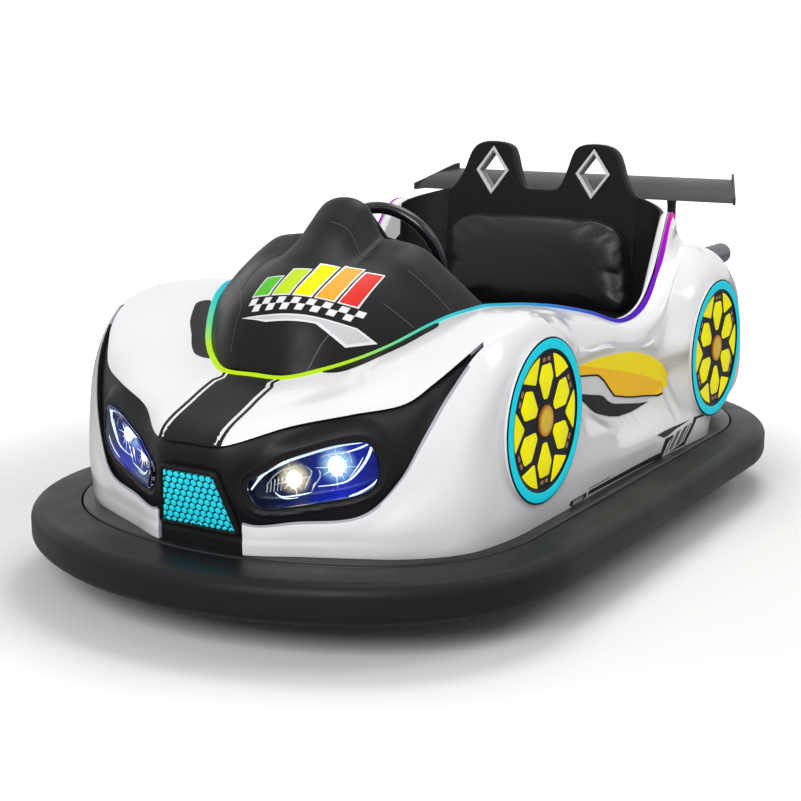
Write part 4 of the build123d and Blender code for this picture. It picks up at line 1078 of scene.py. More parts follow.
def blue_bowl_painted_glow():
    """Bowl in painted light: a glow from near black at the nose to royal blue at the outer end, and a painted
    pool of pale lamp light round each lamp.
    """
    material = moulded("blue bowl painted glow", (0.002, 0.004, 0.02), 0.8, (0.2, 0.3), 300, 0.01, metallic=0.4, level=0.3)
    tree = material.node_tree
    place = add_node(tree, "TexCoord").outputs["Object"]
    for operation, second in (("ABSOLUTE", None), ("MULTIPLY", (1, -1, 1))):
        step = add_node(tree, "VectorMath", {0: place}, operation=operation)
        if second:
            step.inputs[1].default_value = second
        place = step.outputs["Vector"]
    along = ranged(tree, add_node(tree, "SeparateXYZ", {0: place}).outputs["X"], 0.135, 0.31)
    color = ramp_stops(add_node(tree, "ValToRGB", {"Fac": along}), [
        (0.0, (0.001, 0.002, 0.010)), (0.30, (0.002, 0.012, 0.10)), (0.62, (0.003, 0.012, 0.42)),
        (0.86, (0.002, 0.006, 0.24)), (1.0, (0.001, 0.002, 0.030))])
    # A painted pool of each lamp's light on the bowl.
    for u, z, radius, glow in LAMP_SPOTS:
        away = add_node(tree, "VectorMath", {0: place, 1: tuple(lens_place(u, z, -0.022))},
                        operation="DISTANCE").outputs["Value"]
        near = ranged(tree, away, radius * 2.9, radius * 0.7, interpolation="SMOOTHERSTEP")
        color = blended(tree, near, color, (*glow, 1))
    # The bowl glows in these colours, a painted glow: it is no lamp.
    return glowing(material, color, 1.0)


def bright(name, color, strength):
    return emission(name, color, strength, (0.8, 0.8, 0.8), 0.2)


def lamp_disc(u, z, radius, out, height):
    """A domed round lens that faces out of the headlight."""
    points, steps, rings = [], 28, 5
    for t in np.arange(rings) / rings * math.pi / 2:
        r = radius * math.cos(t)
        points += [lens_place(u + a, z + b, out + height * math.sin(t)) for a, b in oval(r, r, steps)]
    return points + [lens_place(u, z, out + height)], dome_faces(rings, steps)


def lamp_ring(u, z, radius, out, thickness):
    """A bright bezel round a lamp."""
    line = [lens_place(u + a, z + b, out) for a, b in oval(radius, radius, 32)]
    return sweep_points(line, oval(thickness, thickness, 8), True, lens_frame()[2])


class BUMPER_CAR_OT_headlights(bpy.types.Operator):
    """Headlight covers, bowls, lamps and light lines"""
    bl_idname = "bumper_car.headlights"
    bl_label = "Headlights"

    def execute(self, context):
        outer, faces = lens_dome(lens_curve(6, 0.0008), 7, 0.006)
        inner, inner_faces = lens_dome(lens_curve(6, 0.003), 7, 0.0035)
        first, count = len(outer), len(outer) // 7
        faces += [tuple(first + k for k in f[::-1]) for f in inner_faces]
        faces += [(j, first + j, first + (j + 1) % count, (j + 1) % count) for j in range(count)]
        cover = (outer + [p - lens_frame()[2] * 0.004 for p in inner], faces, 0)
        parts_piece("lamp_covers", both_sides([cover]), glass(), True, nodes=["headlight_lenses"],
                    slot="lamp_lens")
        self.bowls()
        self.lamps()
        return {"FINISHED"}

    def bowls(self):
        """Bowls behind the covers, from the rim down to a nearly flat floor."""
        depth = -0.030
        rim, floor = lens_curve(6, 0.0012), lens_curve(6, 0.012)
        middle = floor.mean(axis=0)
        shapes = [(rim + (floor - rim) * t, -0.003 + (depth + 0.003) * math.sin(t * math.pi / 2))
                  for t in (0, 0.35, 0.7, 1.0)]
        shapes += [(floor + (middle - floor) * t, depth - 0.003 * t) for t in (0.2, 0.4, 0.6, 0.8)]
        bowl = [lens_place(a, b, out) for shape, out in shapes for a, b in shape]
        bowl.append(lens_place(*middle, depth - 0.004))
        faces = [face[::-1] for face in dome_faces(len(shapes), len(rim))]
        parts_piece("lamp_bowls", both_sides([(bowl, faces, 0)]), blue_bowl_painted_glow(), nodes=["headlight_bowls"],
                    slot="lamp_lens", sharp=50)

    def lamps(self):
        """Lamps with their bezels, the painted glare rays round them and the light lines, and the ribs beside
        them.
        """
        parts = []
        for (u, z, radius, _), number, tilt in zip(LAMP_SPOTS, (1, 2), (0.25, 0.05)):
            parts.append((*lamp_disc(u, z, radius, -0.020, 0.007), number))
            parts.append((*lamp_ring(u, z, radius + 0.0035, -0.022, 0.0013), 0))
            # Twelve glowing bars round each lamp: painted glare rays.
            for k in range(12):
                a, reach = tilt + k * math.pi / 6, radius * (2.6, 1.9, 1.5)[k % 3]
                ray = [(u + r * math.cos(a), z + r * math.sin(a))
                       for r in np.linspace(radius * 0.8, reach, 5)]
                parts.append((*light_line(ray, (0.0011, 0.0009, 0.0006, 0.0004, 0.0001), -0.015), 3 + number))
        for line, widths, number in LIGHT_LINES:
            parts.append((*light_line(metres(line), np.array(widths) * MM, -0.009), number))
        for k in range(5):
            u = 0.030 + 0.0065 * k
            rib = [(u, 0.284 + 0.001 * k), (u + 0.0015, 0.294 + 0.002 * k), (u + 0.002, 0.303 + 0.003 * k)]
            parts.append((*light_line(rib, (0.0012, 0.0014, 0.0008), -0.014), 0))
        parts_piece("lamp_inner", both_sides(parts), [
            finish("bright trim"), bright("warm lamp", (1.0, 0.93, 0.72), 4.0),
            bright("cool lamp", (0.86, 0.96, 1.0), 4.0), bright("light line", (0.62, 0.82, 0.92), 0.9),
            bright("warm painted glare", (0.85, 0.66, 0.30), 0.7), bright("cool painted glare", (0.35, 0.66, 1.0), 0.8)],
            slot="lamp_lens", sharp=40)


def light_line(line, widths, out):
    """A tapering bar along smooth places in the lens, with its half width at each place."""
    cuts = [6] * (len(line) - 1)
    path = [lens_place(a, b, out) for a, b in refine(line, cuts)]
    scale = np.repeat(refine(np.array(widths, float)[:, None], cuts)[:, 0], 8)[:, None]
    points, faces = sweep_points(path, oval(1.0, 0.6, 8), False, lens_frame()[2])
    middles = np.repeat(np.array(path), 8, axis=0)
    return middles + (points - middles) * scale, faces


# Light lines and bright edges inside a headlight: places and half widths in millimetres, material number.
LIGHT_LINES = [
    ([(4, 290), (22, 314), (62, 340.5), (110, 358.5), (160, 373.5), (207, 380.5)],
     (1.2, 2.2, 3.0, 3.0, 2.6, 1.2), 3),
    ([(217, 378), (202, 372), (185, 366), (165, 360)], (1.2, 1.6, 1.3, 0.5), 3),
    ([(221, 374), (214, 352.5), (197.5, 327.5), (180, 311), (160, 304), (125, 299)],
     (2.4, 2.4, 2.0, 1.6, 1.2, 0.6), 3),
    ([(207, 355), (197, 337), (182, 317)], (0.4, 1.0, 0.4), 3),
    ([(234, 320), (222.5, 305), (202.5, 291.5), (180, 283)], (0.6, 1.4, 1.4, 0.6), 3),
    ([(46, 286), (57.5, 278.5), (85, 281), (111, 287)], (0.6, 1.1, 1.3, 0.6), 3),
    ([(50, 281), (62, 275), (88, 277)], (0.4, 0.8, 0.4), 3),
    ([(112, 286), (119, 302), (129, 318), (126, 330)], (0.6, 1.8, 1.6, 0.6), 0),
    ([(102, 336), (113, 326), (106, 306), (100, 292)], (0.5, 1.2, 1.2, 0.5), 0),
    ([(30, 296), (46, 318), (70, 332), (98, 338)], (0.6, 1.2, 1.2, 0.5), 0),
    ([(128, 352), (150, 360), (180, 362), (187, 344)], (0.5, 1.2, 1.2, 0.6), 0),
]


# ---------------------------------------------------------------- light strip
class BUMPER_CAR_OT_light_strip(bpy.types.Operator):
    """Colour-changing light strip along the rim of the cowl and the cockpit"""
    bl_idname = "bumper_car.light_strip"
    bl_label = "Light strip"

    def execute(self, context):
        end = station_row(LIGHT_END) + 1
        rim = SURFACE[:end, -1]
        across = SURFACE[:end, -4] - rim
        across /= np.linalg.norm(across, axis=1, keepdims=True)
        rows = (rim + across * 0.0058, across, NORMALS[:end, -1])
        middle, side, lift = (both_halves(row) for row in rows)
        profile = metres([(-6.0, -1), (-5.8, 1.8), (-4.0, 4.0), (0, 5.0), (4.0, 4.0), (5.8, 1.8), (6.0, -1)])
        points = [p + s * a + n * b for p, s, n in zip(middle, side, lift) for a, b in profile]
        faces = tube_faces(len(middle), len(profile), caps=True)
        mesh_piece("rim_light", points, faces, light_material(), nodes=["light_strip"], slot="light_strip",
                   sharp=60)
        return {"FINISHED"}


# Colour of the light strip by its place from the front, in metres.
LIGHT_COLORS = [(-0.69, (0.55, 0.85, 0.005)), (-0.60, (0.48, 0.82, 0.02)), (-0.53, (0.16, 0.72, 0.30)),
                (-0.44, (0.03, 0.62, 0.62)), (-0.28, (0.02, 0.40, 0.62)), (-0.10, (0.03, 0.14, 0.58)),
                (0.04, (0.035, 0.04, 0.44)), (0.14, (0.05, 0.006, 0.42)), (0.26, (0.12, 0.003, 0.56)),
                (0.34, (0.22, 0.002, 0.60)), (0.40, (0.40, 0.002, 0.62)), (0.45, (0.60, 0.002, 0.48)),
                (0.58, (0.85, 0.004, 0.16))]


def light_material():
    """Lit strip whose colour runs from yellow-green at the nose to pink at the seat back."""
    material = moulded("light strip", (0.002, 0.002, 0.003), 0.95, (0.4, 0.5), 400, 0.005, level=0.04)
    tree = material.node_tree
    first, last = LIGHT_COLORS[0][0], LIGHT_COLORS[-1][0]
    place = add_node(tree, "SeparateXYZ", {0: add_node(tree, "TexCoord").outputs["Object"]}).outputs["Y"]
    color = ramp_stops(add_node(tree, "ValToRGB", {"Fac": ranged(tree, place, first, last)}),
                       [((y - first) / (last - first), color) for y, color in LIGHT_COLORS])
    return glowing(material, color, settings().light_level)


# ---------------------------------------------------------------- cowl
# Rows of the left half of the cowl: y, then (x, z) places from the middle outwards, in millimetres.
COWL = [
    (-668, ((0, 466), (18, 467), (34, 467), (48, 468), (60, 468))),
    (-619, ((0, 600), (30, 598), (62, 588), (95, 566), (120, 530))),
    (-516, ((0, 666), (42, 660), (88, 641), (138, 615), (186, 574))),
    (-440, ((0, 716), (44, 704), (84, 670), (156, 648), (213, 606))),
    (-400, ((0, 748), (46, 734), (86, 688), (168, 668), (230, 622))),
    (-352, ((0, 777), (46, 764), (86, 706), (172, 685), (240, 630))),
    (-330, ((0, 768), (44, 752), (84, 698), (176, 678), (247, 625))),
]


def rim_at(y):
    """Place of the body's rim at a y in front of the cockpit."""
    rim = SURFACE[:station_row(11), -1]
    return np.array([np.interp(y, rim[:, 1], rim[:, 0]), y, np.interp(y, rim[:, 1], rim[:, 2])])


def cowl_grid():
    """Dense points of the cowl: rows from front to rear, columns from the right rim to the left rim."""
    rows = []
    for y, row in COWL:
        edge = rim_at(y * MM)
        rows.append([(x * MM, y * MM, z * MM) for x, z in row])
        rows[-1].append((edge[0] - 0.0008, y * MM, edge[2] + 0.0004))
    rows = np.array(rows)
    whole = np.concatenate([rows[:, :0:-1] * MIRROR, rows], axis=1)
    dense = np.stack([refine(row, [14] * 10) for row in whole])
    dense = refine(dense, [12, 12, 9, 6, 7, 4])
    across, along = np.abs(dense[..., 0]), dense[..., 1]
    dense[..., 2] -= 0.006 * np.exp(-((across - 0.088) / 0.014) ** 2) * ease((along + 0.50) / 0.10)
    for row in dense:
        edge = rim_at(row[0, 1])
        for j, sign in ((0, -1), (-1, 1)):
            row[j] = (sign * (edge[0] - 0.0008), edge[1], edge[2] + 0.0004)
    return dense


class BUMPER_CAR_OT_cowl(bpy.types.Operator):
    """Black moulded cowl with its pod and fold lines"""
    bl_idname = "bumper_car.cowl"
    bl_label = "Cowl"

    def execute(self, context):
        grid = cowl_grid()
        faces = grid_faces(len(grid), grid.shape[1])
        piece = mesh_piece("cowl_shell", grid.reshape(-1, 3), faces, satin_black(), nodes=["dash_cowl"],
                           slot="satin_black")
        recalculated(piece, (0, -0.5, 0.68), (0, 0, 1))
        thicken(piece, 0.004)
        rounded(piece, 0.0012, 2, 60)
        return {"FINISHED"}


# ---------------------------------------------------------------- wheel covers
def lathe(profile, steps, place):
    """Points and faces of a profile of (radius, depth) turned round an axis.  place maps (u, v, depth)."""
    points = [place(u, v, depth) for radius, depth in profile for u, v in oval(radius, radius, steps)]
    return points, tube_faces(len(profile), steps)


def raised(outline, base, top, bevel, place):
    """Points and faces of a flat-topped pad over an outline, with a sloping edge."""
    outline = np.array(outline, float)
    middle = outline.mean(axis=0)
    n = len(outline)
    spread = np.linalg.norm(outline - middle, axis=1).mean()
    rows = [(1.0, base), (1.0, top - bevel), (1 - bevel * 0.35 / spread, top - bevel * 0.3),
            (1 - bevel / spread, top)]
    points = [place(*(middle + (p - middle) * share), depth) for share, depth in rows for p in outline]
    return points, tube_faces(len(rows), n) + [tuple(range(3 * n, 4 * n))]


def polar(radius, angle, radial=0.0, tangential=0.0):
    a = math.radians(angle)
    return ((radius + radial) * math.cos(a) - tangential * math.sin(a),
            (radius + radial) * math.sin(a) + tangential * math.cos(a))


class BUMPER_CAR_OT_wheel_covers(bpy.types.Operator):
    """Round covers on the sides: ring, honeycomb cells and hub cap"""
    bl_idname = "bumper_car.wheel_covers"
    bl_label = "Wheel covers"

    def execute(self, context):
        for label, (y, z) in (("front", FRONT_DISC), ("rear", REAR_DISC)):
            for side, word in ((1, "left"), (-1, "right")):
                node = f"wheel_cover_{label}_{word}"
                low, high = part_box(node)
                back = low.x if side > 0 else -high.x
                self.cover(f"side_disc_{label}_{word}", node, lambda u, v, depth: (
                    side * (back + depth), y + u, z + v))
        return {"FINISHED"}

    def cover(self, name, node, place):
        parts = [(*lathe(metres(profile), steps, place), number) for profile, steps, number in COVER_PROFILES]

        def pad(shape, radius, cuts, top, bevel, number):
            outline = rounded_corners(shape, radius, cuts) if cuts else shape
            parts.append((*raised(outline, COVER_FLOOR, top, bevel, place), number))

        for k in range(6):
            spoke, between = 30 + 60 * k, 60 * k
            cell = [polar(0, spoke, *p) for p in ((0.043, -0.008), (0.043, 0.008), (0.084, 0.0305),
                                                   (0.111, 0.019), (0.111, -0.019), (0.084, -0.0305))]
            pad(cell, 0.0055, 4, 0.0056, 0.0006, 2)
            cell = [polar(0.1315, between + a) for a in (-17.3, -12, -6, 0, 6, 12, 17.3)]
            cell = [polar(0.0905, between, 0, -0.002), *cell, polar(0.0905, between, 0, 0.002)]
            pad(cell, 0.0018, 2, 0.0056, 0.0006, 2)
            for turn in (-4.6, 4.6):
                dash = [polar(r, spoke + turn + t) for r, t in ((0.1175, -3.0), (0.1175, 3.0), (0.1250, 2.8),
                                                                 (0.1250, -2.8))]
                pad(dash, 0, 0, 0.0052, 0.0003, 4)
        # The cyan ring and the yellow cells glow a little, a painted glow.
        materials = [painted_glow_finish("cyan ring", 0.2), finish("navy disc"), painted_glow_finish("yellow cells", 0.22),
                     finish("orange cap edge"), finish("tan dashes"), gel_coat(), finish("orange cap"),
                     finish("gold cap")]
        piece = parts_piece(name, parts, materials, nodes=[node], slot="cover_yellow", sharp=25)
        recalculated(piece, merge=1e-6)


# Height of a wheel cover's dark floor, in metres.
COVER_FLOOR = 0.0046
# Turned parts of a wheel cover: (radius, depth) places in millimetres, steps round it, number of the finish.
COVER_PROFILES = [
    ([(163, 0), (163, 5.6)], 96, 5),
    ([(163, 5.6), (162.5, 7.0), (161.2, 7.6), (159.4, 7.6)], 96, 1),
    ([(159.4, 7.6), (158.8, 8.3), (157, 8.6), (142.5, 8.6), (140.6, 8.2), (140, 7.2)], 96, 0),
    ([(140, 7.2), (137, 6.6), (135, 5.8), (133.8, 4.6), (60, 4.6), (31, 4.6)], 96, 1),
    ([(31.2, 4.6), (31.2, 6.6), (30.2, 7.7), (28.8, 7.9)], 48, 3),
    ([(28.8, 7.9), (27, 7.6), (22.5, 7.6)], 48, 6),
    ([(22.5, 7.6), (20.5, 8.2), (10, 8.5), (0.5, 8.6)], 48, 7),
    ([(163, 0), (0.5, 0)], 96, 5),
]


# ---------------------------------------------------------------- trim laid on the body
def patch_parts(patches, thickness, side=0, place=None):
    """Thin plates laid on the body.  Each patch is (places, faces, material number); side 0 is from above,
    1 or -1 from that side of the car.  The plates' outer faces stand off the body by their thickness."""
    parts = []
    place = place or laid
    for places, faces, number in patches:
        n = len(places)
        points = place(places, PATCH_LIFT + thickness, side) + place(places, PATCH_LIFT - PATCH_ROOT, side)
        edges = dict.fromkeys((a, b) for face in faces for a, b in zip(face, face[1:] + face[:1]))
        whole = list(faces) + [tuple(n + k for k in f[::-1]) for f in faces]
        whole += [(b, a, n + a, n + b) for a, b in edges if (b, a) not in edges]
        parts.append((points, [f[::-1] for f in whole] if side < 0 else whole, number))
    return parts


# How far a laid plate stands off the body, and how far its back face reaches down from there.
PATCH_LIFT, PATCH_ROOT = 0.0004, 0.0012


def outline_patch(outline, number=0, step=0.012, cuts=0):
    """A patch over a flat outline in millimetres; cuts smooths the outline first."""
    outline = np.array(outline, float) * MM
    if cuts:
        outline = smooth_loop(outline, cuts)
    places, faces = flat_patch([tuple(p) for p in outline], step)
    return places, faces, number


def band_patch(line, width, number=0, step=0.008):
    places, faces = ribbon(np.array(line, float) * MM, width * MM, step)
    return [tuple(p) for p in places], faces, number


def mirrored_patch(patch):
    places, faces, number = patch
    return [(-a, b) for a, b in places], [f[::-1] for f in faces], number


# Seams of the cowl as seen from above, in millimetres. They are drawn as pale lines, a painted highlight
# along them.
SEAMS = [[(9, -419), (49, -417), (69, -420), (83, -427), (96, -425), (105, -410)],
         [(188, -416), (226, -411), (276, -403)], [(182, -500), (205, -492), (239, -478)],
         [(133, -597), (116, -628), (104, -648)],
         [(-69, -656), (-64, -625), (-90, -590), (-118, -558), (-127, -500), (-127, -455), (-95, -429)]]
# Plane of the cowl's decal: its origin in metres, and its directions across and up.
DECAL_ORIGIN = np.array([0.050, -0.575, 0.600])
DECAL_ACROSS = np.array([0.9635, 0.2676, 0.0])
DECAL_UP = np.array([-0.1772, 0.6378, 0.7495])


class BUMPER_CAR_OT_cowl_trim(bpy.types.Operator):
    """Seams of the cowl, drawn as pale lines that are a painted highlight, and its decal of rising bars over
    a chequered band
    """
    bl_idname = "bumper_car.cowl_trim"
    bl_label = "Cowl trim"

    def execute(self, context):
        grid = cowl_grid()
        tree = BVHTree.FromPolygons([tuple(p) for p in grid.reshape(-1, 3)],
                                    grid_faces(len(grid), grid.shape[1]))
        outwards = np.cross(DECAL_ACROSS, DECAL_UP)

        def from_above(places, lift, side):
            return laid(places, lift, tree=tree)

        def on_front(places, lift, side):
            points = []
            for u, w in places:
                start = DECAL_ORIGIN + DECAL_ACROSS * u + DECAL_UP * w + outwards * 0.3
                hit, normal, _, _ = tree.ray_cast(Vector(start), Vector(-outwards))
                if normal.dot(Vector(outwards)) < 0:
                    normal = -normal
                points.append(tuple(hit + normal * lift))
            return points

        # The seams' pale grey is a painted highlight along the welts.
        seams = [band_patch(line, 1.5, 0, 0.006) for line in SEAMS]
        parts_piece("cowl_seams", patch_parts(seams, 0.0004, place=from_above), [finish("seam painted highlight")],
                    slot="satin_black", sharp=35)
        frames, prints = [], []
        for k, rise in enumerate((44, 66, 84, 92, 84)):
            left, lean = -100 + 43 * k, rise * 0.35
            for grow, number, layer in ((3, 5, frames), (0, k, prints)):
                foot, head, right = -6 - grow, rise + grow, left + 33 + grow
                layer.append(outline_patch([(left - grow, foot), (right, foot), (right + lean, head),
                                            (left + lean - grow, head)], number, 0.008))
        for row in range(2):
            for k in range(row, 15, 2):
                u, w = -106 + 15 * k - 5 * row, -27 - 14 * row
                check = [(u, w), (u + 15, w), (u + 20, w + 14), (u + 5, w + 14)]
                prints.append(outline_patch(check, 5, 0.008))
        wedge = [(-118, -50), (112, -50), (150, -66), (96, -92), (40, -64), (-60, -64)]
        frames.append(outline_patch(wedge, 5, 0.008))
        wedge = [(-100, -53), (110, -53), (138, -66), (97, -86), (46, -60), (-58, -60)]
        prints.append(outline_patch(wedge, 6, 0.008))
        names = ("green print", "lime print", "yellow cells", "orange cap", "red print")
        materials = [finish(name) for name in names] + [gel_coat(), finish("pale stripes")]
        parts = patch_parts(frames, 0.0004, place=on_front) + patch_parts(prints, 0.0007, place=on_front)
        parts_piece("cowl_decal", parts, materials, slot="satin_black", sharp=35)
        return {"FINISHED"}


# Hood trim seen from above, in millimetres: half of the black strip, the white stripe beside it, the black
# stripe outside that, and a vent.
STRIP_HALF = [(0, -882), (60, -880), (61, -800), (60, -718), (55, -709), (52, -702), (57, -685), (0, -683)]
PINSTRIPE = [(60, -879), (61, -860), (61, -800), (60, -718), (55, -709), (52, -702), (57, -685)]
OUTER_STRIPE = [(68.5, -878), (69.5, -860), (69.5, -800), (68.5, -714), (62, -704), (59, -697), (64, -684)]
VENT = [(131, -640), (150, -641), (169, -637), (182, -630), (206, -606), (226, -580), (258, -544),
        (279, -506), (290, -482), (288, -468), (277, -452), (262, -464), (227, -522), (187, -578),
        (150, -618), (134, -637)]


class BUMPER_CAR_OT_hood_trim(bpy.types.Operator):
    """Black strip with pinstripes and the vent patches on the hood"""
    bl_idname = "bumper_car.hood_trim"
    bl_label = "Hood trim"

    def execute(self, context):
        outline = STRIP_HALF + [(-x, y) for x, y in STRIP_HALF[-2:0:-1]]
        parts = patch_parts([outline_patch(outline, 0, 0.010)], 0.0006)
        lines = [band_patch([(sign * x, y) for x, y in stripe], width, number)
                 for stripe, width, number in ((PINSTRIPE, 4.6, 1), (OUTER_STRIPE, 6.5, 0))
                 for sign in (1, -1)]
        parts += patch_parts(lines, 0.0008)
        parts_piece("hood_decal", parts, [satin_black(), gel_coat()], nodes=["hood_strip"],
                    slot="satin_black", sharp=35)
        vent = outline_patch(VENT, 0, 0.010, 2)
        parts_piece("vent_patches", patch_parts([vent, mirrored_patch(vent)], 0.0008), [satin_black()],
                    nodes=["hood_vents"], slot="satin_black", sharp=35)
        return {"FINISHED"}


# Shapes in the scoops as (y, z) places in millimetres: the yellow panel, its orange shade, the black shape.
YELLOW = [(-172, 438), (-147, 435), (-48, 436), (58, 429), (115, 422), (170, 412), (220, 399), (262, 384),
          (300, 367), (328, 350), (345, 333), (337, 317), (321, 304), (299, 297), (274, 295), (240, 301),
          (200, 308), (150, 315), (100, 324), (65, 332), (38, 338), (21, 350), (0, 366), (-20, 382),
          (-45, 396), (-60, 401), (-100, 407), (-137, 412), (-170, 417)]
SHADE = [(-150, 437), (0, 404), (100, 381), (200, 354), (308, 322)] + YELLOW[12:-1] + [(-160, 416)]
BLACK_SHAPE = [(-155, 377), (-144, 376), (-80, 362), (-40, 354), (-21, 348), (0, 335), (20, 326), (45, 319),
               (100, 309), (180, 295), (227, 289), (190, 286), (124, 284), (60, 288), (14, 297), (-25, 308),
               (-61, 319), (-85, 332), (-102, 343), (-130, 360), (-150, 372)]
# Sill stripes: (y, z) outlines in millimetres and the number of their finish.
SILL = [
    ([(-272, 175), (-262, 181), (-186, 181), (-190, 172), (-200, 170), (-262, 169)], 0),
    ([(-178, 174), (-172, 181), (202, 181), (206, 168), (150, 170), (-178, 173)], 0),
    ([(190, 224), (368, 226), (295, 220), (240, 212), (220, 212)], 0),
    ([(198, 168), (222, 199), (232, 207), (276, 208), (256, 200), (240, 194), (212, 168)], 0),
    ([(252, 171), (338, 172), (398, 222), (470, 220), (470, 226), (388, 228), (332, 180)], 0),
    ([(-176, 186), (-70, 186), (-70, 188), (-176, 188)], 1),
    ([(230, 173), (236, 173), (276, 206), (270, 206)], 1),
    ([(250, 176), (268, 177), (312, 213), (294, 212)], 1),
    ([(282, 178), (306, 180), (350, 217), (328, 215)], 1),
    ([(316, 181), (322, 181), (368, 219), (362, 219)], 1),
]


class BUMPER_CAR_OT_side_trim(bpy.types.Operator):
    """Coloured shapes in the scoops and the stripes along the sills"""
    bl_idname = "bumper_car.side_trim"
    bl_label = "Side trim"

    def execute(self, context):
        for side, word in ((1, "left"), (-1, "right")):
            shapes = [outline_patch(YELLOW, 0, 0.006), outline_patch(BLACK_SHAPE, 2, 0.006)]
            edge = YELLOW[-1:] + YELLOW[-2:12:-1]
            parts = (patch_parts(shapes, 0.0008, side)
                     + patch_parts([outline_patch(SHADE, 1, 0.006)], 0.0010, side)
                     + patch_parts([band_patch(edge, 4.0, 2, 0.005)], 0.0012, side))
            # The yellow and orange panels glow a little, a painted glow.
            parts_piece(f"side_panel_{word}", parts,
                        [painted_glow_finish("yellow panel", 0.16), painted_glow_finish("orange panel", 0.14), satin_black()],
                        nodes=[f"side_insert_{word}"], slot="yellow_panel", sharp=35)
            bars = [outline_patch(outline, number, 0.010) for outline, number in SILL]
            ticks = [outline_patch([(a, 171), (a + 4, 171), (a + 10, 179), (a + 6, 179)], 2)
                     for a in (-256, -246, -236, -226, -216)]
            parts = patch_parts(bars, 0.0006, side) + patch_parts(ticks, 0.0009, side)
            parts_piece(f"sill_stripes_{word}", parts,
                        [satin_black(), finish("grey stripes"), finish("pale stripes")], slot="satin_black",
                        sharp=35)
        return {"FINISHED"}


# ---------------------------------------------------------------- cockpit
class BUMPER_CAR_OT_cockpit(bpy.types.Operator):
    """Lining of the cockpit with its rolled white edge"""
    bl_idname = "bumper_car.cockpit"
    bl_label = "Cockpit"

    def execute(self, context):
        start = station_row(9)
        rim, station = SURFACE[start:, -1], STATION[start:]
        run = np.gradient(rim, axis=0)[:, :2]
        run /= np.linalg.norm(run, axis=1, keepdims=True)
        inward = np.stack([-run[:, 1], run[:, 0], np.zeros(len(run))], axis=1)
        inward[-1] = (0, -1, 0)
        widening = 0.008 * ease((station - 14.2) / 1.2) * ease((17.6 - station) / 0.8)
        # The rolled edge: share of the widening, distance inwards and height over the rim.
        roll = [(0.0, 0.0046, -0.0006), (0.0, 0.0075, 0.0008), (0.25, 0.010, 0.0006), (0.6, 0.0105, -0.001),
                (0.9, 0.0115, -0.0035), (1.0, 0.0135, -0.008), (1.0, 0.0142, -0.016), (1.0, 0.0146, -0.045)]
        rows = [rim + inward * (near + share * widening)[:, None] + (0, 0, rise)
                for share, near, rise in roll]
        down = (0.08, 0.3, 0.55, 0.8, 1.0)
        top, foot_z = rows[-1], 0.1394
        foot = top * (0.95, 1.0, 0.0) + (0, 0, foot_z)
        rows += [top + (foot - top) * t for t in down]
        # The liner's front: places at the dash and at the floor, in millimetres.
        toe = [((0, -430, 470), (0, -455)), ((150, -430, 470), (143, -455)), ((225, -430, 474), (215, -450)),
               ((268, -398, 500), (258, -415))]
        front = []
        for place, floor in toe:
            a = np.array(place) * MM
            b = np.array([*floor, foot_z / MM]) * MM
            shares = [0.02, 0.05, 0.12] + [0.12 + 0.88 * t for t in down]
            front.append([a + (0, 0.004 * t, 0) for t in (0, 0.3, 0.6, 1, 1)])
            front[-1] += [a + (b - a) * t for t in shares]
        loop = whole_loop(np.concatenate([np.array(front), np.stack(rows, axis=1)]))
        columns = loop.shape[1]
        faces = grid_faces(len(loop), columns, closed=True)
        numbers = [0 if k % (columns - 1) < len(roll) else 1 for k in range(len(faces))]
        piece = mesh_piece("cockpit_liner", loop.reshape(-1, 3), faces, [gel_coat(), finish("dark lining")],
                           nodes=["cockpit_wall"], slot="white_shell", sharp=50, numbers=numbers)
        recalculated(piece, (0.36, 0.05, 0.3), (-1, 0, 0))
        thicken(piece, 0.0025)
        return {"FINISHED"}


# ---------------------------------------------------------------- seat
# Lean of the seat back, and the origin of its plane in metres.
LEAN = math.radians(6.0)
SEAT_ORIGIN = np.array([0.0, 0.556, 0.770])


def seat_place(x, v, out=0.0):
    """Point in the seat back's plane: across, up along it and out towards the nose, in metres."""
    return (SEAT_ORIGIN + np.array([x, 0, 0]) + v * np.array([0, math.sin(LEAN), math.cos(LEAN)])
            + out * np.array([0, -math.cos(LEAN), math.sin(LEAN)]))


# Half of the seat back's outline, as (across, up) places in millimetres.
SEAT_HALF = [(0, -42), (30, -42), (44, -38), (53, -28), (62, -8), (70, 14), (78, 40), (88, 60), (102, 69),
             (122, 73), (146, 74), (168, 72), (188, 65), (203, 50), (214, 26), (221, 6), (233, -17),
             (250, -40), (272, -58), (300, -74)]


def curve_plate(name, outline, holes, half_depth, bevel, front=0.0):
    """Rounded plate in the seat back's plane, its front face at a distance out of that plane."""
    data = bpy.data.curves.new(name, "CURVE")
    data.dimensions = "2D"
    data.fill_mode = "BOTH"
    for loop in (outline, *holes):
        spline = data.splines.new("POLY")
        spline.points.add(len(loop) - 1)
        for point, (a, b) in zip(spline.points, loop):
            point.co = (a, b, 0, 1)
        spline.use_cyclic_u = True
    data.extrude = half_depth - bevel
    data.bevel_depth = bevel
    data.bevel_resolution = 4
    data.offset = -bevel
    work = bpy.data.objects.new(name, data)
    bpy.context.scene.collection.objects.link(work)
    bpy.context.view_layer.update()
    mesh = bpy.data.meshes.new_from_object(work.evaluated_get(bpy.context.evaluated_depsgraph_get()))
    bpy.data.objects.remove(work)
    points = [seat_place(v.co.x, v.co.y, v.co.z - half_depth + front) for v in mesh.vertices]
    return points, [tuple(p.vertices) for p in mesh.polygons]


def diamond(x, half_width, half_height):
    return [(x, -half_height), (x + half_width, 0.0), (x, half_height), (x - half_width, 0.0)]


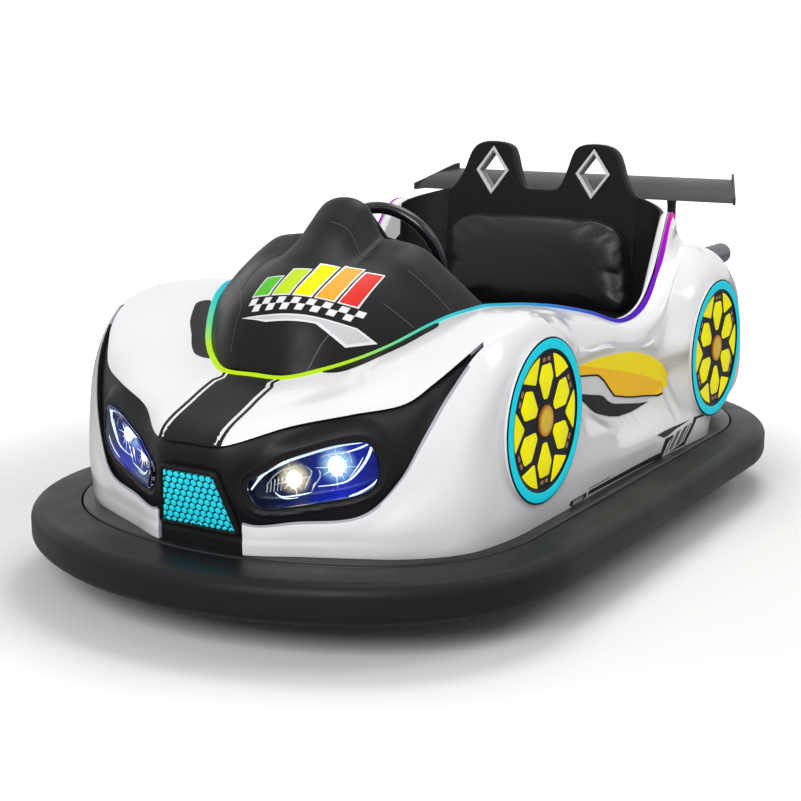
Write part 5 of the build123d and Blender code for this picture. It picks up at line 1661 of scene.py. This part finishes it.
class BUMPER_CAR_OT_seat(bpy.types.Operator):
    """Seat back shell with two headrests, its diamonds, the back pad and the cushion"""
    bl_idname = "bumper_car.seat"
    bl_label = "Seat"

    def execute(self, context):
        curve = refine(np.array(SEAT_HALF, float) * MM, [6] * (len(SEAT_HALF) - 1))
        outline = mirrored_half([tuple(p) for p in curve] + [(0.300, -0.25), (0.300, -0.423)])
        holes = [rounded_corners(diamond(x, 0.0455, 0.0605)[::-1], 0.002, 2) for x in (0.14, -0.14)]
        points, faces = curve_plate("shell", outline, holes, 0.016, 0.006)
        mesh_piece("seat_shell", points, faces, finish("black moulding"), nodes=["seat_back_shell"],
                   slot="black_moulding", sharp=40)
        self.wings()
        self.diamonds()
        self.back_pad()
        self.cushion()
        return {"FINISHED"}

    def wings(self):
        """Side wings that close the seat back to the rim of the body."""
        rows = []
        for v, x_out, y_front, drop in (
                (-0.423, 0.338, 0.445, 0), (-0.33, 0.345, 0.447, 0), (-0.22, 0.350, 0.452, 0),
                (-0.14, 0.353, 0.458, 0.004), (-0.085, 0.3535, 0.462, 0.018), (-0.050, 0.3535, 0.464, 0.038)):
            x, y, z = seat_place(0.262, v, 0.001)
            rows.append([(x + (x_out - x) * math.sin(t * math.pi / 2),
                          y + (y_front - y) * (1 - math.cos(t * math.pi / 2)) ** 0.8, z - drop * t)
                         for t in np.linspace(0, 1, 12)])
        grid = refine(np.array(rows), [6] * (len(rows) - 1))
        parts = both_sides([(grid.reshape(-1, 3), grid_faces(len(grid), grid.shape[1]), 0)])
        piece = parts_piece("seat_wings", parts, finish("black moulding"), slot="black_moulding")
        thicken(piece, 0.010, 1.0)
        rounded(piece, 0.0035, 3, 50)

    def diamonds(self):
        """Pale frames round the diamond openings, their inner walls grey as a painted shade."""
        parts = []
        for x in (0.14, -0.14):
            outer, inner = diamond(x, 0.0462, 0.0615), diamond(x, 0.0375, 0.0502)
            loops = [(outer, -0.033), (outer, 0.0015), (diamond(x, 0.0450, 0.0600), 0.0030),
                     (diamond(x, 0.0390, 0.0522), 0.0030), (inner, 0.0015), (inner, -0.006),
                     (diamond(x, 0.0385, 0.0515), -0.033)]
            points = [seat_place(a, b, out) for loop, out in loops for a, b in loop]
            parts.append((points, tube_faces(len(loops), 4, closed=True), 0))
        piece = parts_piece("headrest_diamonds", parts, [finish("silver paint"), finish("inner wall painted shade")],
                            nodes=["headrest_frames"], slot="silver_trim", smooth=False)
        # The inner walls take the dark grey, a painted shade in the openings.
        for k, face in enumerate(piece.data.polygons):
            face.material_index = int(k % 28 >= 20)
        recalculated(piece)

    def back_pad(self):
        """Back pad in black vinyl, swollen from a slightly smaller block."""
        half = rounded_half(metres([(0, -103.5), (170, -104), (222, -120), (250, -158), (264, -230),
                                    (270, -338.5), (0, -338.5)]))
        points, faces = curve_plate("pad", mirrored_half(half), [], 0.018, 0.012, front=0.0375)
        piece = mesh_piece("back_pad", points, faces, finish("black vinyl"), nodes=["seat_back_pad"],
                           slot="seat_vinyl")
        normal = Vector(seat_place(0, 0, 1) - seat_place(0, 0, 0))
        swell(piece, 0.012, lambda co: (co - Vector(SEAT_ORIGIN)).dot(normal) < 0.004)

    def cushion(self):
        """Seat cushion in black vinyl, swollen from a slightly smaller block."""
        low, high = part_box("seat_cushion")
        margin = 0.008
        left, right, front, rear = low.x + margin, high.x - margin, low.y + margin, high.y - 0.004
        outline = rounded_corners([(left, front), (right, front), (right, rear), (left, rear)], 0.045, 8)
        base, top = low.z + 0.0005, high.z - 0.008
        rows = [(1.0, base), (1.0, top - 0.022), (0.992, top - 0.010), (0.97, top - 0.002), (0.94, top)]
        middle = np.array([0.0, (low.y + high.y) / 2])
        points = [(*(middle + (np.array(p) - middle) * share), z) for share, z in rows for p in outline]
        piece = mesh_piece("seat_pad", points, tube_faces(len(rows), len(outline), caps=True),
                           finish("black vinyl"), nodes=["seat_cushion"], slot="seat_vinyl")
        swell(piece, 0.008, lambda co: co.z < low.z + 0.004)


def mirrored_half(half):
    """Closed outline from its half on the left side of the middle."""
    return half + [(-x, v) for x, v in half[::-1] if x > 1e-6]


def rounded_half(points):
    """Half outline with its corners rounded, its ends kept."""
    path = [points[0]]
    for before, here, after in zip(points, points[1:], points[2:]):
        before, here, after = (np.array(p) for p in (before, here, after))
        reach = 0.45 * min(np.linalg.norm(before - here), np.linalg.norm(after - here), 0.09)
        start = here + (before - here) / np.linalg.norm(before - here) * reach
        end = here + (after - here) / np.linalg.norm(after - here) * reach
        for t in np.linspace(0, 1, 6):
            path.append(tuple(start * (1 - t) ** 2 + here * 2 * t * (1 - t) + end * t * t))
    return path + [points[-1]]


def swell(piece, cap, held):
    """Swells a closed pad like stuffed vinyl: remeshed, blown up by cloth, capped, held where held() says."""
    remesh = piece.modifiers.new("remesh", "REMESH")
    remesh.mode = "VOXEL"
    remesh.voxel_size = 0.0065
    apply_modifiers(piece)
    start = np.array([v.co for v in piece.data.vertices])
    fixed = piece.vertex_groups.new(name="held")
    fixed.add([v.index for v in piece.data.vertices if held(v.co)], 1.0, "REPLACE")
    cloth = piece.modifiers.new("cloth", "CLOTH")
    cloth.settings.use_pressure = True
    cloth.settings.uniform_pressure_force = 4
    cloth.settings.vertex_group_mass = "held"
    cloth.settings.effector_weights.gravity = 0
    cloth.point_cache.frame_end = 20
    scene = bpy.context.scene
    for frame_number in range(1, 21):
        scene.frame_set(frame_number)
    graph = bpy.context.evaluated_depsgraph_get()
    moved = np.array([v.co for v in piece.evaluated_get(graph).data.vertices])
    piece.modifiers.clear()
    scene.frame_set(1)
    step = moved - start
    length = np.linalg.norm(step, axis=1, keepdims=True)
    step *= np.tanh(length / cap) * cap / np.maximum(length, 1e-9)
    for vert, place in zip(piece.data.vertices, start + step):
        vert.co = place
    smooth = piece.modifiers.new("smooth", "SMOOTH")
    smooth.factor = 0.5
    smooth.iterations = 6
    piece.modifiers.new("fine", "SUBSURF").levels = 1
    shaded(apply_modifiers(piece))
    piece.vertex_groups.clear()


# ---------------------------------------------------------------- steering
# Centre of the steering wheel in metres, and its tilt.
WHEEL_CENTRE = np.array([0.0, -0.175, 0.625])
TILT = math.radians(20.0)


def wheel_place(u, v, out):
    """Point in the steering wheel's plane: across, up along it and out towards the driver."""
    up = np.array([0, -math.sin(TILT), math.cos(TILT)])
    driver = np.array([0, math.cos(TILT), math.sin(TILT)])
    return WHEEL_CENTRE + np.array([u, 0, 0]) + v * up + out * driver


class BUMPER_CAR_OT_steering(bpy.types.Operator):
    """Steering wheel and its column"""
    bl_idname = "bumper_car.steering"
    bl_label = "Steering"

    def execute(self, context):
        line = [wheel_place(u, v, 0) for u, v in oval(0.127, 0.127, 72)]
        driver = wheel_place(0, 0, 1) - WHEEL_CENTRE
        parts = [(*sweep_points(line, oval(0.0128, 0.0128, 18), True, driver), 0)]
        parts += [(*self.spoke(math.radians(angle)), 1) for angle in (0, 180, 270)]
        cap = [(33.5, -10), (34, -4), (33.5, 3), (30, 7.5), (18, 9.5), (0.5, 9.8)]
        boss = [(0.5, -34), (26, -34), (32, -26), (33.5, -10)]
        shaft = [(10.8, -224), (10.8, -30)]
        for profile, steps, number in ((cap, 40, 2), (boss, 40, 1), (shaft, 24, 3)):
            parts.append((*lathe(metres(profile), steps, wheel_place), number))
        names = ("glossy grip", "black moulding", "grey moulding", "powder-coated steel")
        parts_piece("hand_wheel", parts, [finish(name) for name in names], True, body="steering",
                    nodes=["steering_wheel"], slot="satin_black", sharp=40)
        tube = metres([(11.2, -290), (15.8, -290), (15.8, -150), (15.2, -120), (14.8, -66), (11.2, -66),
                       (11.2, -290)])
        parts_piece("column_tube", [(*lathe(tube, 32, wheel_place), 0)], finish("powder-coated steel"), True,
                    nodes=["steering_column"], slot="frame_steel", sharp=40)
        return {"FINISHED"}

    def spoke(self, angle):
        """A flat spoke that widens at the hub and at the rim, with a hollow along it."""
        section = [(-1, 0.0), (-0.82, 0.0030), (-0.4, 0.0022), (0, 0.0016), (0.4, 0.0022), (0.82, 0.0030),
                   (1, 0.0), (0.82, -0.0030), (0, -0.0030), (-0.82, -0.0030)]
        rows = [(0.026, 0.020, -0.010), (0.040, 0.0155, -0.011), (0.065, 0.012, -0.010),
                (0.090, 0.0118, -0.008), (0.106, 0.0135, -0.005), (0.119, 0.018, -0.002)]
        points = []
        for r, half, drop in rows:
            for share, out in section:
                across = share * half
                points.append(wheel_place(r * math.cos(angle) - across * math.sin(angle),
                                          r * math.sin(angle) + across * math.cos(angle), drop + out))
        return points, tube_faces(len(rows), len(section), caps=True)


# ---------------------------------------------------------------- tail fittings
class BUMPER_CAR_OT_tail(bpy.types.Operator):
    """Spoiler wing on its posts, dummy pipes and tail lamps"""
    bl_idname = "bumper_car.tail"
    bl_label = "Spoiler, pipes and tail lamps"

    def execute(self, context):
        self.wing()
        self.posts()
        self.pipes()
        self.lamps()
        return {"FINISHED"}

    def wing(self):
        """Cambered wing, narrower at its rear edge, with a fin at each end."""
        front_y, chord = 0.7005, 0.1435
        section = [(t, 1) for t in np.arange(11) / 10] + [(t, 0) for t in 1 - np.arange(1, 10) / 10]
        points = []
        for share in np.linspace(-1, 1, 33):
            for t, above in section:
                thick = above * (0.029 * math.sqrt(t) * (1 - t) + 0.0022)
                points.append(((0.4595 - 0.0580 * t) * share, front_y + chord * t,
                               0.6985 + 0.0470 * t + 0.0035 * math.sin(math.pi * t) + thick))
        parts = [(points, tube_faces(33, len(section), caps=True), 0)]
        fin = metres([(700.5, 696.5), (735, 698), (790, 712), (844.8, 735), (844.8, 762), (832, 760),
                      (800, 749), (750, 730), (700.5, 714)])
        for side in (1, -1):
            points = [(side * (0.4600 - 0.0580 * (y - front_y) / chord + inset), y, z)
                      for inset in (0.0, -0.0060) for y, z in fin]
            parts.append((points, tube_faces(2, len(fin), caps=True), 0))
        parts_piece("wing", parts, finish("wing grey"), True, nodes=["spoiler_wing"], slot="grey_moulding",
                    sharp=35)

    def posts(self):
        """Oval posts that flare at the body and under the wing."""
        parts = []
        for side in (1, -1):
            points = []
            for t in np.linspace(0, 1, 9):
                flare = 1 + 0.35 * (1 - min(1, t / 0.2)) ** 2 + 0.3 * max(0, (t - 0.85) / 0.15) ** 2
                points += [(side * 0.280 + a, 0.735 + b, 0.545 + 0.164 * t)
                           for a, b in oval(0.0085 * flare, 0.0205 * flare, 20)]
            parts.append((points, tube_faces(9, 20, caps=True), 0))
        parts_piece("wing_posts", parts, finish("black moulding"), True, nodes=["spoiler_posts"],
                    slot="black_moulding", sharp=40)

    def pipes(self):
        """Open dummy pipes, each on an oval foot."""
        parts = []
        x, y, z = 0.392, 0.690, 0.564
        profile = metres([(0.5, 0), (22, 0), (25.5, 3), (26, 8), (26, 106), (25.5, 112), (24, 115.6),
                          (22.5, 115), (21.8, 112), (21.8, 12), (0.5, 11)])
        for side in (1, -1):
            parts.append((*lathe(profile, 48, lambda u, v, depth: (side * (x + u), y + depth, z + v)), 0))
            foot = [(side * (x + a), y + 0.045 + b, height)
                    for height, share in ((0.480, 1.25), (0.515, 1.0), (0.546, 1.0))
                    for a, b in oval(0.0078 * share, 0.0145 * share, 20)]
            parts.append((foot, tube_faces(3, 20, caps=True), 0))
        parts_piece("tail_pipes", parts, finish("pipe grey"), True, nodes=["exhaust_pipes"], slot="pipe_grey",
                    sharp=40)

    def lamps(self):
        """Tail lamps: domed patches of the body's own surface."""
        first, last = station_row(18.25), station_row(18.8)
        bottom, top = column_row(SHOULDER + 0.15), column_row(SHOULDER + 0.85)
        outer, normal = (grid[first:last + 1, bottom:top + 1] for grid in (SURFACE, NORMALS))
        n, m = outer.shape[:2]
        i, j = np.arange(n)[:, None], np.arange(m)[None, :]
        edge = np.minimum(np.minimum(i, n - 1 - i), np.minimum(j, m - 1 - j))
        face = outer + normal * (0.006 * np.sqrt(np.clip(edge / 2.0, 0, 1)) + 0.0006)[..., None]
        back = outer - normal * 0.001
        points = [*face.reshape(-1, 3), *back.reshape(-1, 3)]
        faces = grid_faces(n, m) + grid_faces(n, m, n * m, flip=True)
        ring = [i * m for i in range(n)] + [(n - 1) * m + j for j in range(1, m)]
        ring += [i * m + m - 1 for i in range(n - 2, -1, -1)] + list(range(m - 2, 0, -1))
        faces += [(a, b, n * m + b, n * m + a) for a, b in zip(ring, ring[1:] + ring[:1])]
        lens = emission("red lens", (0.6, 0.01, 0.01), 0.3, (0.5, 0.005, 0.005), 0.12)
        parts_piece("tail_lights", both_sides([(points, faces, 0)]), lens, True, nodes=["tail_lamps"],
                    slot="red_lens", sharp=50)


# ---------------------------------------------------------------- running gear
class BUMPER_CAR_OT_running_gear(bpy.types.Operator):
    """Finishes of the pieces that keep their own shape: chassis, wheels, motor, battery, pedal and panels"""
    bl_idname = "bumper_car.running_gear"
    bl_label = "Running gear"

    def execute(self, context):
        finishes = {
            "powder-coated steel": ("chassis_ring", "chassis_rails", "drive_bridge", "drive_fork",
                                    "rear_wheel_brackets"),
            "floor plate": ("floor_pan",),
            "grey moulding": ("battery_block",),
            "motor paint": ("drive_motor",),
            "tyre rubber": ("drive_tyre", "rear_left_tyre", "rear_right_tyre"),
            "hub alloy": ("drive_hub", "rear_left_hub", "rear_right_hub"),
            "black moulding": ("accelerator_pedal", "seat_box", "dash_panel"),
        }
        for name, nodes in finishes.items():
            for node in nodes:
                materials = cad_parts[node].data.materials
                materials.clear()
                materials.append(finish(name))
        return {"FINISHED"}


# ---------------------------------------------------------------- stage
class BUMPER_CAR_OT_stage(bpy.types.Operator):
    """Pale floor, soft lights and the camera"""
    bl_idname = "bumper_car.stage"
    bl_label = "Stage"

    def execute(self, context):
        scene = context.scene
        link = scene.collection.objects.link
        mesh = bpy.data.meshes.new("floor")
        corners = ((-1, -1), (1, -1), (1, 1), (-1, 1))
        mesh.from_pydata([(x * FLOOR_REACH, y * FLOOR_REACH, 0) for x, y in corners], [], [(0, 1, 2, 3)])
        floor = bpy.data.objects.new("floor", mesh)
        link(floor)
        mesh.materials.append(self.floor_material())
        scene.world = bpy.data.worlds.new("studio")
        scene.world.use_nodes = True
        tree = scene.world.node_tree
        path = add_node(tree, "LightPath").outputs
        seen = math_node(tree, "MAXIMUM", path["Is Camera Ray"], path["Is Transmission Ray"])
        seen = math_node(tree, "MAXIMUM", seen, path["Is Glossy Ray"])
        feed(tree, tree.nodes["Background"], {
            "Color": (1, 1, 1, 1), "Strength": ranged(tree, seen, 0.0, 1.0, WORLD_LEVEL, 1.0)})
        for name, place, aim, size, power in LAMPS:
            lamp = bpy.data.lights.new(name, "AREA")
            lamp.shape = "RECTANGLE"
            lamp.size, lamp.size_y = size
            lamp.energy = power
            stand = bpy.data.objects.new(name, lamp)
            link(stand)
            stand.location = place
            stand.rotation_euler = (Vector(aim) - Vector(place)).to_track_quat("-Z", "Y").to_euler()
        view = bpy.data.cameras.new("camera")
        view.lens, view.sensor_width = CAMERA_LENS
        camera = bpy.data.objects.new("camera", view)
        link(camera)
        camera.location = CAMERA_PLACE
        tilt, turn = CAMERA_AIM
        camera.rotation_euler = (math.radians(90 - tilt), 0, math.radians(turn))
        scene.camera = camera
        scene.view_settings.view_transform = "Standard"
        return {"FINISHED"}

    def floor_material(self):
        """Pale floor that fades to white for the camera and keeps the shadow."""
        material = bpy.data.materials.new("floor")
        material.use_nodes = True
        tree = material.node_tree
        tree.nodes.remove(tree.nodes[PRINCIPLED])
        camera_ray = add_node(tree, "LightPath").outputs["Is Camera Ray"]
        tone = blended(tree, camera_ray, (0.62, 0.62, 0.62, 1), (1.0, 1.0, 1.0, 1))
        place = add_node(tree, "NewGeometry").outputs["Position"]
        away = add_node(tree, "VectorMath", {0: place}, operation="LENGTH").outputs["Value"]
        far = ranged(tree, away, 1.0, 2.4, interpolation="SMOOTHSTEP")
        glow = add_node(tree, "Emission", {"Strength": math_node(tree, "MULTIPLY", far, camera_ray)})
        matt = add_node(tree, "BsdfDiffuse", {"Color": tone})
        both = add_node(tree, "AddShader", {0: matt.outputs[0], 1: glow.outputs[0]})
        feed(tree, tree.nodes["Material Output"], {"Surface": both.outputs[0]})
        return material


WORLD_LEVEL = 0.30
FLOOR_REACH = 14.0
# Focal length and sensor width in millimetres, place in metres, and degrees downwards and round the car.
CAMERA_LENS = (71.36, 36.0)
CAMERA_PLACE = (1.7804, -3.082, 1.0694)
CAMERA_AIM = (12.433, 31.122)
# Lamps of the stage: name, place, what it points at, size in metres, power in watts.
LAMPS = [
    ("top light", (0.1, 1.0, 3.8), (0, -0.1, 0.3), (2.0, 2.2), 56),
    ("front light", (1.1, -4.2, 2.5), (0.1, -0.5, 0.4), (2.4, 1.6), 118),
    ("side light", (3.9, 0.8, 3.6), (0.3, 0.1, 0.4), (2.2, 1.8), 41),
]


# ---------------------------------------------------------------- settings, panel, main
class BumperCarSettings(bpy.types.PropertyGroup):
    body_color: bpy.props.FloatVectorProperty(
        name="Body colour", description="Colour of the white moulded body", subtype="COLOR",
        default=(0.86, 0.865, 0.88), min=0, max=1)
    satin_color: bpy.props.FloatVectorProperty(
        name="Cowl colour", description="Colour of the cowl, the nose mask and the hood strip",
        subtype="COLOR", default=(0.0075, 0.0078, 0.0088), min=0, max=1)
    rubber_color: bpy.props.FloatVectorProperty(
        name="Bumper colour", description="Colour of the rubber bumper", subtype="COLOR",
        default=(0.0105, 0.0105, 0.011), min=0, max=1)
    light_level: bpy.props.FloatProperty(
        name="Light strip level", description="How strongly the light strip glows", default=1.0,
        min=0, max=10)


OPERATORS = [BUMPER_CAR_OT_bumper, BUMPER_CAR_OT_body, BUMPER_CAR_OT_nose, BUMPER_CAR_OT_headlights,
             BUMPER_CAR_OT_light_strip, BUMPER_CAR_OT_cowl, BUMPER_CAR_OT_cowl_trim,
             BUMPER_CAR_OT_wheel_covers, BUMPER_CAR_OT_hood_trim, BUMPER_CAR_OT_side_trim,
             BUMPER_CAR_OT_cockpit, BUMPER_CAR_OT_seat, BUMPER_CAR_OT_steering, BUMPER_CAR_OT_tail,
             BUMPER_CAR_OT_running_gear, BUMPER_CAR_OT_stage]


class BUMPER_CAR_PT_panel(bpy.types.Panel):
    """Settings and parts of the bumper car"""
    bl_label = "Bumper car"
    bl_idname = "BUMPER_CAR_PT_panel"
    bl_space_type = "VIEW_3D"
    bl_region_type = "UI"
    bl_category = "Bumper car"

    def draw(self, context):
        layout = self.layout
        for name in BumperCarSettings.__annotations__:
            layout.prop(context.scene.bumper_car, name)
        for operator in OPERATORS:
            layout.operator(operator.bl_idname)


def register():
    for item in (BumperCarSettings, *OPERATORS, BUMPER_CAR_PT_panel):
        bpy.utils.register_class(item)
    bpy.types.Scene.bumper_car = bpy.props.PointerProperty(type=BumperCarSettings)


def unregister():
    del bpy.types.Scene.bumper_car
    for item in reversed((BumperCarSettings, *OPERATORS, BUMPER_CAR_PT_panel)):
        bpy.utils.unregister_class(item)


def main():
    register()
    for operator in OPERATORS:
        group, name = operator.bl_idname.split(".")
        getattr(getattr(bpy.ops, group), name)()
    bpy.context.view_layer.update()


if __name__ == "__main__":
    main()
